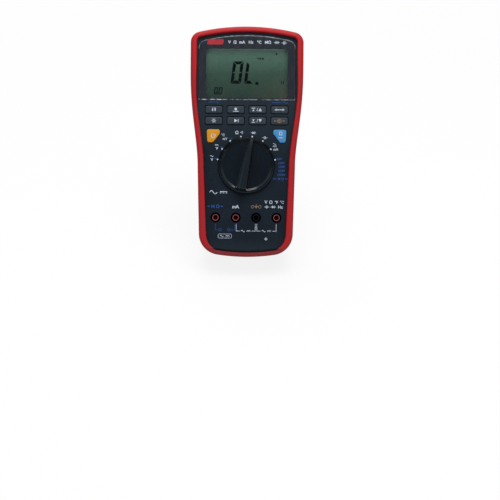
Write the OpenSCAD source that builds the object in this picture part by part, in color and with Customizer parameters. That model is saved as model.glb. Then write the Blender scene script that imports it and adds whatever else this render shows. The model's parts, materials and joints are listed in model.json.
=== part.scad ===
// Handheld insulation multimeter in a rubber boot, leaning back on its open tilt stand.
// Every piece is drawn with the meter lying face up: x across the face, y up the face,
// z out of the face, with the printed panel at z = 0. lean_back() then sets it on the floor.

/* [Outline] */
// Length of the meter in its boot
body_len = 215; // [212:1:235]
// Width of the boot across the display end
head_w = 105.4; // [102:0.2:114]
// Width of the boot at the waist beside the selector
waist_w = 91; // [88:0.5:96]
// How much narrower the boot is at its bottom corners than at the waist
foot_taper = 3.2; // [0:0.2:6]
// Height up the body where the waist starts to widen
head_start = 84; // [74:1:90]
// Height up the body where the display end has its full width
head_full = 180; // [165:1:185]
// Radius of the arched top edge
top_arch_r = 200; // [180:5:400]
// Radius of the arched bottom edge
bottom_arch_r = 180; // [140:10:400]
// Radius of the top corners
top_corner_r = 10; // [10:0.5:14]
// Radius of the bottom corners
bottom_corner_r = 20; // [16:0.5:24]

/* [Boot] */
// Depth of the boot from the panel to its back face
boot_depth = 44; // [42:0.5:52]
// Height of the boot's front rim above the panel
rim_h = 3.5; // [2.5:0.1:4.5]
// Wall thickness of the boot's sides
boot_wall = 3.2; // [2.4:0.1:4]
// Width of the front rim along the sides, at the bottom
rim_low = 7.2; // [6.6:0.1:8]
// Width of the front rim at the neck, where it is narrowest
rim_neck = 4.9; // [4.7:0.1:5.6]
// Height of the neck up the body
neck_y = 147; // [140:1:155]
// Width of the front rim along the sides, beside the display
rim_head = 6; // [5.6:0.1:7]
// Width of the front rim along the top edge
rim_top = 5.1; // [4.8:0.1:6]
// Width of the front rim along the bottom edge
rim_foot = 4.4; // [4.2:0.1:6]
// Thickness of the boot's back lip
back_lip_t = 3; // [2.4:0.1:3.6]
// How far the boot's back lip reaches in over the rear case
back_lip_w = 8.5; // [7:0.5:9.5]
// Radius of the boot's back edge
boot_edge_r = 5; // [3:0.5:6]

/* [Case] */
// Wall thickness of the case shells
case_wall = 2.2; // [1.8:0.1:2.6]
// Thickness of the printed front panel
panel_t = 2.6; // [2.4:0.1:3]
// Depth of the parting line below the panel
part_depth = 12; // [11:0.5:14]
// Clearance between the boot and the case, and between the two shells
case_fit = 0.1; // [0.05:0.05:0.2]
// Radius of the screw posts
post_r = 3.6; // [3.3:0.1:4]
// Radius of the case screws' shanks
case_screw_r = 1.3; // [1:0.1:1.5]

/* [Display] */
// Width of the strip of panel on each side of the display window
lens_side = 1.4; // [1.1:0.1:4]
// Height of the display window at its middle
lens_h = 60.9; // [58:0.1:61.4]
// Distance from the top of the boot down to the window
lens_drop = 7.8; // [7.6:0.1:9]
// Radius of the window's arched top edge
lens_arch_r = 175; // [160:5:300]
// Height of the window above the panel
lens_rise = 0.8; // [0.4:0.1:1.2]
// Depth of the window's seat below the panel
lens_seat = 1.2; // [1:0.1:1.4]
// Width of the window's dark border on each side of the visible display
lcd_side = 7.15; // [6:0.05:10]
// Height of the visible display
lcd_h = 46.8; // [42:0.1:48]
// Distance from the window's lower edge up to the visible display
lcd_lift = 1.6; // [1.4:0.1:3]
// Thickness of the display glass
lcd_t = 2.4; // [2:0.1:2.8]

/* [Keys] */
// Width of a function key
key_w = 16.4; // [14:0.2:17]
// Height of a function key
key_h = 7.4; // [6.6:0.2:8]
// Spacing of the function keys across the face
key_pitch_x = 20.4; // [19.8:0.2:21]
// Spacing of the two key rows
key_pitch_y = 10.4; // [10:0.1:11]
// Distance from the window's lower edge to the upper row's middle
key_drop = 8.7; // [8:0.1:9]
// Width of the two coloured keys
side_key_w = 12.5; // [11:0.1:13]
// Height of the two coloured keys
side_key_h = 12.2; // [11:0.1:13]
// How much narrower the coloured keys are at their lower edge
side_taper = 0.7; // [0:0.1:1.5]
// Width cut off the coloured keys' corners beside the selector
side_cut_w = 6.4; // [4:0.2:8]
// Height cut off the coloured keys' corners beside the selector
side_cut_h = 8.3; // [6:0.1:9]
// Distance of the coloured keys' middles from the centre line
side_key_x = 31.1; // [30:0.1:32]
// Distance of the coloured keys' middles below the lower row
side_key_drop = 14.4; // [14:0.1:15]
// Height of the keys above the panel
key_rise = 1.3; // [0.8:0.1:1.8]
// Travel of the keys
key_travel = 1; // [0.6:0.1:1.2]
// Gap round each key
key_gap = 0.3; // [0.2:0.05:0.4]

/* [Selector] */
// Height of the selector's middle up the face
knob_y = 85.5; // [84:0.5:86.5]
// Radius of the selector knob's skirt
knob_r = 25.9; // [24.5:0.1:26.2]
// Width of the sloping ring round the knob's face
knob_slope_w = 3.5; // [3:0.1:5]
// Height of the knob's face above the panel
knob_face_h = 4.2; // [3.8:0.1:5]
// Height of the knob's grip bar above the panel
knob_bar_h = 12.5; // [10:0.5:14]
// Width of the grip bar at its tail
knob_bar_w = 9.6; // [8:0.2:11]
// Radius of the knob's stem
stem_r = 7.9; // [7:0.1:9]
// Running clearance of the stem in the panel
stem_fit = 0.08; // [0.04:0.01:0.1]
// Angle between two positions of the selector
click = 22.5; // [15:2.5:30]
// Radius of the selector rotor
rotor_r = 19.5; // [18:0.5:20]

/* [Jacks] */
// Height of the jacks up the face
jack_y = 36.7; // [36:0.1:38]
// Spacing of the jacks
jack_pitch = 19; // [18:0.1:19.5]
// Bore of the plug contacts
jack_bore = 4; // [3.9:0.05:4.2]
// Diameter of the ring in the middle of each jack
jack_ring_d = 6.3; // [6.2:0.1:6.6]
// Diameter of the well round each ring
jack_well_d = 9.4; // [9:0.1:9.8]
// Depth of the jacks below the panel
jack_depth = 28; // [26:1:30]
// Depth at which each plug contact starts
contact_start = 5; // [4:0.5:6]

/* [Power] */
// Diameter of a battery cell
cell_d = 14.2; // [13.8:0.1:14.5]
// Length of a battery cell without its button
cell_len = 49.2; // [48:0.1:49.6]
// Gap between the battery cells
cell_gap = 0.6; // [0.4:0.1:1]
// Height of the cells' lower ends up the body
cell_y = 53.6; // [53:0.2:55]

/* [Stand] */
// Angle of the meter above the floor
lean = 60; // [55:1:65]
// Angle of the stand from the back when it is open
stand_open = 45; // [40:1:48]
// Height of the stand's hinge up the body
hinge_y = 124; // [123:0.5:127]
// Depth of the hinge axis inside the back face of the case
hinge_in = 2; // [1.9:0.05:2.1]
// Thickness of the stand's plate
stand_t = 2.2; // [2:0.1:2.4]
// Width of the stand at the hinge
stand_w = 54; // [48:1:58]
// Width of the stand at its foot
stand_foot_w = 46; // [36:1:50]
// Radius of the hinge pin
pin_r = 1.2; // [1:0.05:1.25]
// Running clearance round the hinge pin
pin_fit = 0.05; // [0.02:0.01:0.08]

/* [Hidden] */

$fn = 48;
eps = 0.01;

// Outline: the right half as [x, y, normal x, normal y], from the bottom middle to the top middle
arch_steps = 5;
corner_steps = 7;
side_steps = 24;
round_steps = 4;
waist_snap = 2.8;
foot_half = (waist_w - foot_taper) / 2;
waist_half = waist_w / 2;
head_half = head_w / 2;
low_rise = sqrt(pow(bottom_arch_r - bottom_corner_r, 2) - pow(foot_half - bottom_corner_r, 2));
low_corner_y = bottom_arch_r - low_rise;
low_angle = atan2(low_rise, foot_half - bottom_corner_r);
high_rise = sqrt(pow(top_arch_r - top_corner_r, 2) - pow(head_half - top_corner_r, 2));
high_corner_y = body_len - top_arch_r + high_rise;
high_angle = atan2(high_rise, head_half - top_corner_r);

function unit(t) = max(0, min(1, t));
function ease(t) = 1 - pow(1 - t, waist_snap) * (1 + waist_snap * t);
function side_x(y) = foot_half
    + (waist_half - foot_half) * unit((y - low_corner_y) / (head_start - low_corner_y))
    + (head_half - waist_half) * ease(unit((y - head_start) / (head_full - head_start)));
function arc_point(cx, cy, r, a) = [cx + r * cos(a), cy + r * sin(a), cos(a), sin(a)];
function side_point(y) =
    let (slope = side_x(y + 0.5) - side_x(y - 0.5), k = sqrt(1 + slope * slope))
    [side_x(y), y, 1 / k, -slope / k];

half_line = concat(
    [for (i = [0:arch_steps - 1])
        arc_point(0, bottom_arch_r, bottom_arch_r, -90 + (90 - low_angle) * i / arch_steps)],
    [for (i = [0:corner_steps])
        arc_point(foot_half - bottom_corner_r, low_corner_y, bottom_corner_r,
            -low_angle * (1 - i / corner_steps))],
    [for (i = [1:side_steps - 1])
        side_point(low_corner_y + (high_corner_y - low_corner_y) * i / side_steps)],
    [for (i = [0:corner_steps])
        arc_point(head_half - top_corner_r, high_corner_y, top_corner_r, high_angle * i / corner_steps)],
    [for (i = [1:arch_steps])
        arc_point(0, body_len - top_arch_r, top_arch_r, high_angle + (90 - high_angle) * i / arch_steps)]
);
last = len(half_line) - 1;
whole_line = concat(half_line, [for (i = [last - 1:-1:1])
    let (p = half_line[i]) [-p[0], p[1], -p[2], p[3]]]);

// Width of the boot's front rim at a point of the outline
function rim_at(p) =
    let (along = p[2] * p[2], across = p[3] * p[3], foot = p[1] < head_start)
    lookup(p[1], [[0, rim_low], [neck_y, rim_neck], [head_full, rim_head]]) * along
    + (foot ? rim_foot : rim_top) * across;
// The outline moved in by a fixed distance and a share of the rim's width
function moved(p, in, share) = let (d = in + share * rim_at(p)) [p[0] - d * p[2], p[1] - d * p[3]];
function line_in(in, share = 0) = [for (p = whole_line) moved(p, in, share)];

// Levels, all measured from the panel
case_back = boot_depth - back_lip_t;
case_in = boot_wall + case_fit;
inner_in = case_in + case_wall;
flange_drop = 2.2;
flange_t = 2.2;
panel_gap = 0.15;
rim_wall = 1.4;
board_top = 9;
board_t = 1.6;
board_back = board_top + board_t;
board_in = inner_in + 1.7;
board_clear = 0.6;
tongue_t = 1.2;
tongue_h = 1.2;
tongue_root = 2;

// Display
lens_w = head_w - 2 * (rim_head + lens_side);
lcd_w = lens_w - 2 * lcd_side;
lens_top = body_len - lens_drop;
lens_low = lens_top - lens_h;
lens_t = lens_rise + lens_seat;
lens_gap = 0.1;
lens_corner = 8;
lens_foot_corner = 1.2;
lcd_corner = 2;
lens_slant = 0.5;
lcd_low = lens_low + lcd_lift;
lcd_mid_y = lcd_low + lcd_h / 2;
lcd_border = 1.9;
lcd_gap = 0.15;
lcd_drop = panel_t + 0.8;
frame_wall = 1.5;
frame_drop = panel_t + 0.1;
light_t = 2.4;
light_gap = 0.1;
connector_h = 3;
connector_in = 2;

// Keys
upper_row_y = lens_low - key_drop;
lower_row_y = upper_row_y - key_pitch_y;
side_key_y = lower_row_y - side_key_drop;
key_corner = 1.5;
side_corner = 2;
key_crown = 0.45;
key_flange = 1;
key_flange_t = 0.8;
key_hang = 0.1;
key_foot_w = 6;
key_foot_h = 3.4;
mat_t = 0.8;
dome_r = 2.6;
dome_h = 0.9;
mat_in = 1;
mat_corner = 2;
key_foot_end = board_top - mat_t - dome_h - key_travel - key_hang;

// Selector
well_gap = 0.7;
well_drop = 1;
knob_clear = 0.3;
knob_shell = 2;
knob_face_r = knob_r - knob_slope_w;
skirt_h = 1.4;
skirt_round = 0.6;
face_round = 1.4;
knob_dish = 0.7;
bar_rim = 0.9;
bar_shoulder = 0.86;
bar_point = 0.4;
bar_waist = 0.78;
bar_waist_at = 0.35;
bar_spread = 1.6;
bar_crown = 0.9;
bar_slope = 2.4;
bar_edge = 1.4;
bar_slice = 0.4;
stem_bore_r = 1.6;
stem_end = 6.6;
rotor_screw_head_r = 3;
rotor_screw_head_t = 0.9;
rotor_screw_len = 7;
rotor_top = 4.2;
rotor_t = 2.2;
rotor_fit = 0.05;
clicks = floor(360 / click);
notch_r = 1.7;
notch_in = 0.4;
roller_r = 1.5;
roller_gap = 0.35;
roller_h = 2;
start_turn = -click / 2;
bar_tip_w = 2.6;
wiper_count = 3;
wiper_t = 0.4;
wiper_w = 2.4;
wiper_len = 9;
wiper_in = 8.6;
wiper_gap = 0.15;
wiper_root = 2.3;
wiper_tip = 2;
wiper_lift = 0.6;
detent_back = 2.4;
detent_post_w = 9;
leaf_len = 22;
detent_post_end = board_top + 0.4;
detent_t = 0.5;
detent_y = knob_y - rotor_r - roller_gap - 2 * roller_r;
detent_post_y = detent_y - detent_back;

// Jacks
jack_x = [for (i = [0:3]) (i - 1.5) * jack_pitch];
cup_wall = 1.2;
cup_flange = 1.2;
cup_drop = panel_t + 0.1;
ring_drop = 0.4;
mouth_slack = 0.25;
mouth_taper = 0.1;
mouth_bevel = 0.3;
ring_round = 0.2;
contact_wall = 0.6;
contact_fit = 0.05;
contact_len = 21;
well_floor = 4;
contact_tail_r = 1;
contact_tail = 2.2;

// Power
cells = 4;
cell_clear = 0.4;
cell_pitch = cell_d + cell_gap;
button_r = 2.7;
button_h = 1.2;
plate_t = 0.4;
plate_in = 1;
dimple_h = 0.5;
dimple_r = 3;
pin_gap = 1.2;
supply_pin_r = 0.8;
cell_end_gap = plate_t + dimple_h + 0.1;
bay_wall = 2;
bay_half_w = cells * cell_pitch / 2 + cell_clear;
bay_low = cell_y - cell_end_gap;
bay_high = cell_y + cell_len + button_h + cell_end_gap;
cell_z = -(case_back - case_wall - cell_clear - cell_d / 2);
bay_roof = -(cell_z + cell_d / 2 + cell_clear);
bay_top = bay_roof - bay_wall;
ledge_w = 3;
ledge_t = 2;
cover_gap = 0.2;
cover_ear = 8.6;
cover_low = bay_low - ledge_w;
cover_high = bay_high + cover_ear;
cover_half_w = bay_half_w + ledge_w;
cover_corner = 4;
cover_screw_x = 20;
cover_screw_y = bay_high + bay_wall + post_r - 0.7;
cover_screw_r = 1.3;
cover_boss_h = 7;
grip_count = 5;
grip_start = 6;
grip_pitch = 2.4;
grip_w = 1.2;
grip_len = 24;
grip_deep = 0.5;
head_r = 2.9;
head_t = 1.3;
slack = 0.2;

// Fasteners
post_keep = inner_in + tongue_t + post_r;
low_post = [side_x(low_corner_y) - post_keep - 1.6, low_corner_y - 1.8];
high_post_x = 22;
high_post = [high_post_x, body_len - post_keep - 1.6];
case_posts = [[-low_post[0], low_post[1]], low_post, [-high_post[0], high_post[1]], high_post];
boss_r = post_r + 0.6;
post_end = 22;
thread_slack = 0.05;
slot_w = 0.7;
slot_deep = 0.6;
slot_share = 0.6;
cover_screw_len = 4;
case_screw_in = 7.8;
case_head_r = 2.7;
case_head_t = 1.8;
case_seat = 12;
board_post_r = 2.6;
board_mid_y = knob_y + 7.5;
board_post_places = [[jack_pitch, jack_y - 10.7],
    [side_x(board_mid_y) - inner_in - board_post_r - 4.8, board_mid_y], [head_half - 14.7, body_len - 13]];
board_posts = [for (p = board_post_places, side = [-1, 1]) [side * p[0], p[1]]];
board_screw_r = 1;
board_screw_in = 3.5;
board_head_r = 2.1;
board_head_t = 1.2;

// Stand
barrel_r = 2.4;
trough_r = barrel_r + 0.7;
rail_wall = 2;
rail_end = 5;
stand_skim = 0.4;
stop_gap = 0.08;
barrel_gap = 0.3;
hinge_z = -(case_back - hinge_in);
plate_near = hinge_in + stand_skim;
plate_far = plate_near + stand_t;
plate_mid = (plate_near + plate_far) / 2;
foot_r = stand_t / 2;
full_tilt = lean + stand_open;
floor_z = boot_edge_r * sin(lean) - (boot_depth - boot_edge_r) * cos(lean) - boot_edge_r;
hinge_up = hinge_y * sin(lean) + hinge_z * cos(lean);
stand_reach = (hinge_up - floor_z - foot_r - plate_mid * cos(full_tilt)) / sin(full_tilt);
web_left = 1.8;
web_right = 0.2;
web_root = 0.2;
stand_corner = 8;
stand_dish = 0.8;
stand_border = 5;
stand_rib = 2;
dish_count = 3;
dish_start = barrel_r + 2 * stand_border;
dish_pitch = (stand_reach - dish_start - 2 * stand_border) / dish_count;
dish_corner = 3;
stand_shoulder = 30;
stand_cut = 0.3;
notch_reach = 3.5;
thumb_r = 16;

// Frame: the lowest point rests on the floor and the box is centred on the origin
rim_round = rim_h;
y_front = rim_round * cos(lean) - rim_round;
y_back = (body_len - boot_edge_r) * cos(lean) + (boot_depth - boot_edge_r) * sin(lean) + boot_edge_r;
y_mid = (y_front + y_back) / 2;

module lean_back() {
    translate([0, -y_mid, -floor_z]) rotate([lean, 0, 0]) children();
}

// A slab between two depths with the body's outline moved in
module slab(in, deep, shallow, share = 0) {
    translate([0, 0, -deep]) linear_extrude(deep - shallow) polygon(line_in(in, share));
}

// A bar with its middle at [x, y] between two depths
module block(at, size, deep, shallow) {
    translate([at[0] - size[0] / 2, at[1] - size[1] / 2, -deep]) cube([size[0], size[1], deep - shallow]);
}

module rod(at, r, deep, shallow) {
    translate([at[0], at[1], -deep]) cylinder(r = r, h = deep - shallow);
}

function corner(cx, cy, r, from) = [for (i = [0:round_steps])
    let (a = from + 90 * i / round_steps) [cx + r * cos(a), cy + r * sin(a)]];
function round_box(w, h, r) = concat(
    corner(w / 2 - r, h / 2 - r, r, 0), corner(r - w / 2, h / 2 - r, r, 90),
    corner(r - w / 2, r - h / 2, r, 180), corner(w / 2 - r, r - h / 2, r, 270));

module round_block(at, size, r, deep, shallow) {
    translate([at[0], at[1], -deep]) linear_extrude(deep - shallow) polygon(round_box(size[0], size[1], r));
}

// A closed tube round the outline from a section of [distance in, share of the rim, z]
module outline_sweep(section) {
    n = len(whole_line);
    m = len(section);
    points = [for (s = section) for (p = whole_line) let (q = moved(p, s[0], s[1])) [q[0], q[1], s[2]]];
    faces = [for (j = [0:m - 1]) for (i = [0:n - 1])
        let (k = (i + 1) % n, b = (j + 1) % m)
        each [[j * n + i, b * n + k, j * n + k], [j * n + i, b * n + i, b * n + k]]];
    polyhedron(points, faces);
}

// Rubber boot: a C-shaped section carried round the outline
back_round = [for (i = [0:3])
    [boot_edge_r * (1 - sin(30 * i)), 0, -boot_depth + boot_edge_r * (1 - cos(30 * i))]];
front_round = [for (i = [0:4])
    [rim_round * (1 - cos(22.5 * i)), 0, rim_h - rim_round * (1 - sin(22.5 * i))]];
rim_crest = 0.8;
rim_bevel = 1.7;
boot_section = concat(back_round, front_round, [
    [0, rim_crest, rim_h],
    [0, 1, rim_h - rim_bevel],
    [0, 1, -flange_drop + case_fit],
    [boot_wall, 0, -flange_drop + case_fit],
    [boot_wall, 0, -case_back - case_fit],
    [back_lip_w, 0, -case_back - case_fit],
    [back_lip_w, 0, -boot_depth]
]);

module holster() {
    color("firebrick") outline_sweep(boot_section);
}

// Openings of the panel, each a little larger than what passes through it
function key_places(row_y) = [for (i = [0:3]) [(i - 1.5) * key_pitch_x, row_y]];
function arched_half(half, top, arch, r) =
    let (rise = sqrt(pow(arch - r, 2) - pow(half - r, 2)), turn = atan2(rise, half - r))
    concat(
        [for (i = [0:corner_steps]) arc_point(half - r, top - arch + rise, r, turn * i / corner_steps)],
        [for (i = [1:arch_steps]) arc_point(0, top - arch, arch, turn + (90 - turn) * i / arch_steps)]);

module lens_shape(grow) {
    half = lens_w / 2 + grow;
    right = arched_half(half, lens_top + grow, lens_arch_r + grow, lens_corner + grow);
    n = len(right) - 1;
    foot = lens_foot_corner + grow;
    polygon(concat(
        [for (p = right) [p[0], p[1]]],
        [for (i = [n - 1:-1:0]) [-right[i][0], right[i][1]]],
        corner(foot - half, lens_low - grow + foot, foot, 180),
        corner(half - foot, lens_low - grow + foot, foot, 270)));
}

// A convex outline through points given counter-clockwise, with round corners, grown by a distance
function soft_outline(points, r, grow) = let (n = len(points)) [for (i = [0:n - 1])
    let (out = points[(i + 1) % n] - points[i], in = points[i] - points[(i + n - 1) % n],
        from = atan2(in[1], in[0]) - 90, bend = (atan2(out[1], out[0]) - 90 - from + 720) % 360,
        centre = points[i] - r / cos(bend / 2) * [cos(from + bend / 2), sin(from + bend / 2)])
    each [for (k = [0:round_steps]) let (a = from + bend * k / round_steps)
        centre + (r + grow) * [cos(a), sin(a)]]];

// A coloured key: a box with the corner beside the selector cut off
module side_key_shape(side, grow) {
    w = side_key_w / 2;
    h = side_key_h / 2;
    points = [[w, h], [-w, h], [side_taper - w, -h], [w - side_cut_w, -h], [w, side_cut_h - h]];
    translate([side * side_key_x, side_key_y]) mirror([side > 0 ? 1 : 0, 0])
        polygon(soft_outline(points, side_corner, grow));
}

module front_case() {
    color("darkslategray") difference() {
        union() {
            difference() {
                union() {
                    slab(panel_gap, panel_t + eps, 0, 1);
                    slab(case_in, part_depth, flange_drop);
                }
                slab(inner_in, part_depth + 1, flange_drop + flange_t);
                slab(panel_gap + rim_wall, flange_drop + flange_t + eps, panel_t, 1);
            }
            for (p = case_posts) rod(p, post_r, post_end, panel_t - eps);
            for (p = board_posts) rod(p, board_post_r, board_top, panel_t - eps);
            block([0, detent_post_y], [detent_post_w, detent_back], detent_post_end, panel_t - eps);
        }
        translate([0, 0, -lens_seat]) linear_extrude(lens_seat + 1) lens_shape(lens_gap);
        round_block([0, lcd_mid_y], [lcd_w, lcd_h], lcd_corner, panel_t + 1, 0);
        for (y = [upper_row_y, lower_row_y], p = key_places(y))
            round_block(p, [key_w + 2 * key_gap, key_h + 2 * key_gap], key_corner, panel_t + 1, -1);
        for (side = [-1, 1])
            translate([0, 0, -panel_t - 1]) linear_extrude(panel_t + 2) side_key_shape(side, key_gap);
        rod([0, knob_y], knob_r + well_gap, well_drop, -1);
        rod([0, knob_y], stem_r + stem_fit, panel_t + 1, 0);
        for (x = jack_x) rod([x, jack_y], jack_well_d / 2, panel_t + 1, -1);
        for (p = case_posts) rod(p, case_screw_r + thread_slack, post_end + 1, post_end - case_seat);
        for (p = board_posts)
            rod(p, board_screw_r + thread_slack, board_top + 1, board_top - board_screw_in - 1);
    }
}

// Rear shell with its battery bay, screw bosses and the rail of the stand's hinge
module bay_walls() {
    block([0, (cover_low + cover_high) / 2],
        [2 * (cover_half_w + ledge_w), cover_high - cover_low + 2 * ledge_w],
        case_back, case_back - case_wall - ledge_t);
    block([0, (bay_low + bay_high) / 2], [2 * (bay_half_w + bay_wall), bay_high - bay_low + 2 * bay_wall],
        case_back, bay_top);
    for (side = [-1, 1])
        rod([side * cover_screw_x, cover_screw_y], post_r, case_back, case_back - case_wall - cover_boss_h);
}

module cover_shape(grow) {
    translate([0, (cover_low + cover_high) / 2])
        polygon(round_box(2 * cover_half_w + 2 * grow, cover_high - cover_low + 2 * grow, cover_corner));
}

module along_hinge(r, half_len) {
    translate([-half_len, hinge_y, hinge_z]) rotate([0, 90, 0]) cylinder(r = r, h = 2 * half_len);
}

module rear_case() {
    rail_r = trough_r + rail_wall;
    color("dimgray") difference() {
        union() {
            difference() {
                slab(case_in, case_back, part_depth);
                slab(inner_in, case_back - case_wall, part_depth - 1);
            }
            difference() {
                slab(inner_in - eps, part_depth + tongue_root, part_depth - eps);
                slab(inner_in + tongue_t, part_depth + tongue_root + 1, part_depth - 1);
            }
            difference() {
                slab(inner_in + case_fit, part_depth, part_depth - tongue_h);
                slab(inner_in + tongue_t, part_depth + 1, part_depth - tongue_h - 1);
            }
            bay_walls();
            for (p = case_posts) rod(p, boss_r, case_back, post_end + case_fit);
            intersection() {
                along_hinge(rail_r, stand_w / 2 + rail_end);
                block([0, hinge_y], [stand_w + 4 * rail_end, 4 * rail_r], case_back, 0);
            }
        }
        translate([0, 0, -case_back - 1]) linear_extrude(case_wall + 1) cover_shape(cover_gap);
        block([0, (bay_low + bay_high) / 2], [2 * bay_half_w, bay_high - bay_low], case_back + 1, bay_roof);
        for (side = [-1, 1])
            rod([side * cover_screw_x, cover_screw_y], cover_screw_r + thread_slack,
                case_back, case_back - case_wall - cover_boss_h + 1);
        for (p = case_posts) {
            rod(p, case_screw_r + slack, case_back + 1, post_end - 1);
            rod(p, case_head_r + slack, case_back + 1, case_back - case_wall);
        }
        along_hinge(trough_r, stand_w / 2 + barrel_gap);
        along_hinge(pin_r + pin_fit, stand_w / 2 + rail_end + 1);
    }
}

module display_window() {
    color("lightgray", 0.4) union() {
        translate([0, 0, -lens_seat]) linear_extrude(lens_t - lens_slant) lens_shape(0);
        translate([0, 0, lens_rise - lens_slant]) linear_extrude(lens_slant) lens_shape(-lens_slant);
    }
}

module lcd_frame() {
    outer = [lcd_w + 2 * (lcd_border + frame_wall), lcd_h + 2 * (lcd_border + frame_wall)];
    glass = [lcd_w + 2 * lcd_border + 2 * lcd_gap, lcd_h + 2 * lcd_border + 2 * lcd_gap];
    color("whitesmoke") difference() {
        block([0, lcd_mid_y], outer, board_top, frame_drop);
        block([0, lcd_mid_y], [lcd_w, lcd_h], board_top, 0);
        block([0, lcd_mid_y], glass, board_top + 1, lcd_drop);
    }
}

module lcd_glass() {
    color("darkseagreen")
        block([0, lcd_mid_y], [lcd_w + 2 * lcd_border, lcd_h + 2 * lcd_border], lcd_drop + lcd_t, lcd_drop);
}

module backlight() {
    color("white") block([0, lcd_mid_y + connector_h / 2],
        [lcd_w + 2 * lcd_border, lcd_h + 2 * lcd_border - connector_h - 2 * light_gap],
        lcd_drop + lcd_t + light_gap + light_t, lcd_drop + lcd_t + light_gap);
}

module display_connector() {
    color("dimgray") block([0, lcd_low - lcd_border + connector_h / 2],
        [lcd_w - 2 * connector_in, connector_h - light_gap], board_top, lcd_drop + lcd_t);
}

// Circuit board on the panel's posts, cleared round the case posts and the jacks
module main_board() {
    color("darkgreen") difference() {
        slab(board_in, board_back, board_top);
        for (p = case_posts) rod(p, boss_r + board_clear, board_back + 1, board_top - 1);
        for (p = board_posts) rod(p, board_screw_r + slack, board_back + 1, board_top - 1);
        for (x = jack_x) rod([x, jack_y], jack_well_d / 2 + cup_wall + slack, board_back + 1, board_top - 1);
        rod([0, knob_y], rotor_screw_head_r + board_clear, board_back + 1, board_top - 1);
        block([0, detent_post_y], [detent_post_w + 1, detent_back + 1], board_back + 1, board_top - 1);
    }
}

// Silicone sheet with a dome under each key
module keypad_mat() {
    color("gainsboro") union() {
        round_block([0, (upper_row_y + lower_row_y) / 2],
            [3 * key_pitch_x + key_w, key_pitch_y + key_h - mat_in], mat_corner,
            board_top, board_top - mat_t);
        for (side = [-1, 1])
            round_block([side * side_key_x, side_key_y], [side_key_w - mat_in, side_key_h - mat_in],
                mat_corner, board_top, board_top - mat_t);
        for (y = [upper_row_y, lower_row_y], p = key_places(y))
            rod(p, dome_r, board_top - mat_t, board_top - mat_t - dome_h);
        for (side = [-1, 1])
            rod([side * side_key_x, side_key_y], dome_r, board_top - mat_t, board_top - mat_t - dome_h);
    }
}

// Key cap: a crowned top, a flange behind the panel and a foot over its dome
module cap(at, w, h) {
    shell = panel_t + key_hang;
    hull() {
        round_block(at, [w, h], key_corner, 0, -(key_rise - key_crown));
        round_block(at, [w - 2 * key_crown, h - 2 * key_crown], key_corner, 0, -key_rise);
    }
    round_block(at, [w, h], key_corner, shell + eps, 0);
    round_block(at, [w + 2 * key_flange, h + 2 * key_flange], key_corner, shell + key_flange_t, shell);
    block(at, [key_foot_w, key_foot_h], key_foot_end, shell);
}

module upper_key(i) {
    color("slategray") cap(key_places(upper_row_y)[i - 1], key_w, key_h);
}

module lower_key(i) {
    color("slategray") cap(key_places(lower_row_y)[i - 1], key_w, key_h);
}

module side_cap(side) {
    shell = panel_t + key_hang;
    union() {
        translate([0, 0, -shell - eps])
            linear_extrude(shell + eps + key_rise - key_crown) side_key_shape(side, 0);
        translate([0, 0, key_rise - key_crown - eps])
            linear_extrude(key_crown + eps) side_key_shape(side, -key_crown);
        translate([0, 0, -shell - key_flange_t])
            linear_extrude(key_flange_t) side_key_shape(side, key_flange);
        block([side * side_key_x, side_key_y], [key_foot_w, key_foot_h], key_foot_end, shell);
    }
}

module yellow_key() {
    color("goldenrod") side_cap(-1);
}

module blue_key() {
    color("steelblue") side_cap(1);
}

// Everything that turns with the selector is drawn pointing up and then turned to its rest position
module at_knob() {
    translate([0, knob_y, 0]) rotate([0, 0, start_turn]) children();
}

module selector_knob() {
    low = knob_clear - well_drop;
    color("black") at_knob() difference() {
        union() {
            rotate_extrude($fn = 96) polygon(concat(
                [[0, low + knob_shell], [stem_r, low + knob_shell], [stem_r, low], [knob_r, low]],
                turned_edge(knob_r, skirt_h, skirt_round, 0),
                turned_edge(knob_face_r + face_round / 2, knob_face_h, face_round, 30),
                [[0, knob_face_h - knob_dish]]));
            translate([0, 0, -stem_end]) cylinder(r = stem_r, h = stem_end + knob_shell);
            knob_bar();
        }
        translate([0, 0, -stem_end - 1]) cylinder(r = stem_bore_r, h = stem_end + knob_face_h - 1);
    }
}

// Round outer edge of a turned profile, from an angle up to straight up
function turned_edge(edge_r, level, r, from) = [for (i = [0:4])
    let (a = from + (90 - from) * i / 4) [edge_r - r + r * cos(a), level - r + r * sin(a)]];

// Grip bar right across the knob: wide at the tail, with a pointed tip and one steep side
module knob_bar() {
    hull() {
        translate([0, 0, skirt_h - bar_slice]) linear_extrude(bar_slice) bar_plan(bar_spread, 0);
        translate([0, 0, knob_bar_h - bar_edge]) linear_extrude(bar_slice) bar_plan(0, bar_slope / 2);
        translate([0, 0, knob_bar_h - bar_slice]) linear_extrude(bar_slice) bar_plan(-bar_crown, bar_slope);
    }
}

// The bar's outline, grown sideways and drawn back from the knob's rim
module bar_plan(grow, back) {
    end = knob_r - bar_rim - back;
    half = knob_bar_w / 2 + grow;
    tip = bar_tip_w / 2 + max(grow, -bar_tip_w / 4);
    spread = asin(half / end);
    polygon(concat(
        [for (i = [-3:3]) let (a = -90 + spread * i / 3) end * [cos(a), sin(a)]],
        [[tip, end * bar_shoulder], [bar_point, end], [-bar_point, end],
            [-tip, end * bar_shoulder], [-half * bar_waist, end * bar_waist_at]]));
}

module selector_rotor() {
    color("ivory") at_knob() translate([0, 0, -rotor_top - rotor_t]) difference() {
        cylinder(r = rotor_r, h = rotor_t, $fn = 96);
        translate([0, 0, -1]) cylinder(r = stem_r + rotor_fit, h = rotor_t + 2);
        for (i = [0:clicks - 1]) rotate([0, 0, (i + 0.5) * click - 90])
            translate([rotor_r + notch_r - notch_in, 0, -1]) cylinder(r = notch_r, h = rotor_t + 2, $fn = 24);
    }
}

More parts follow.
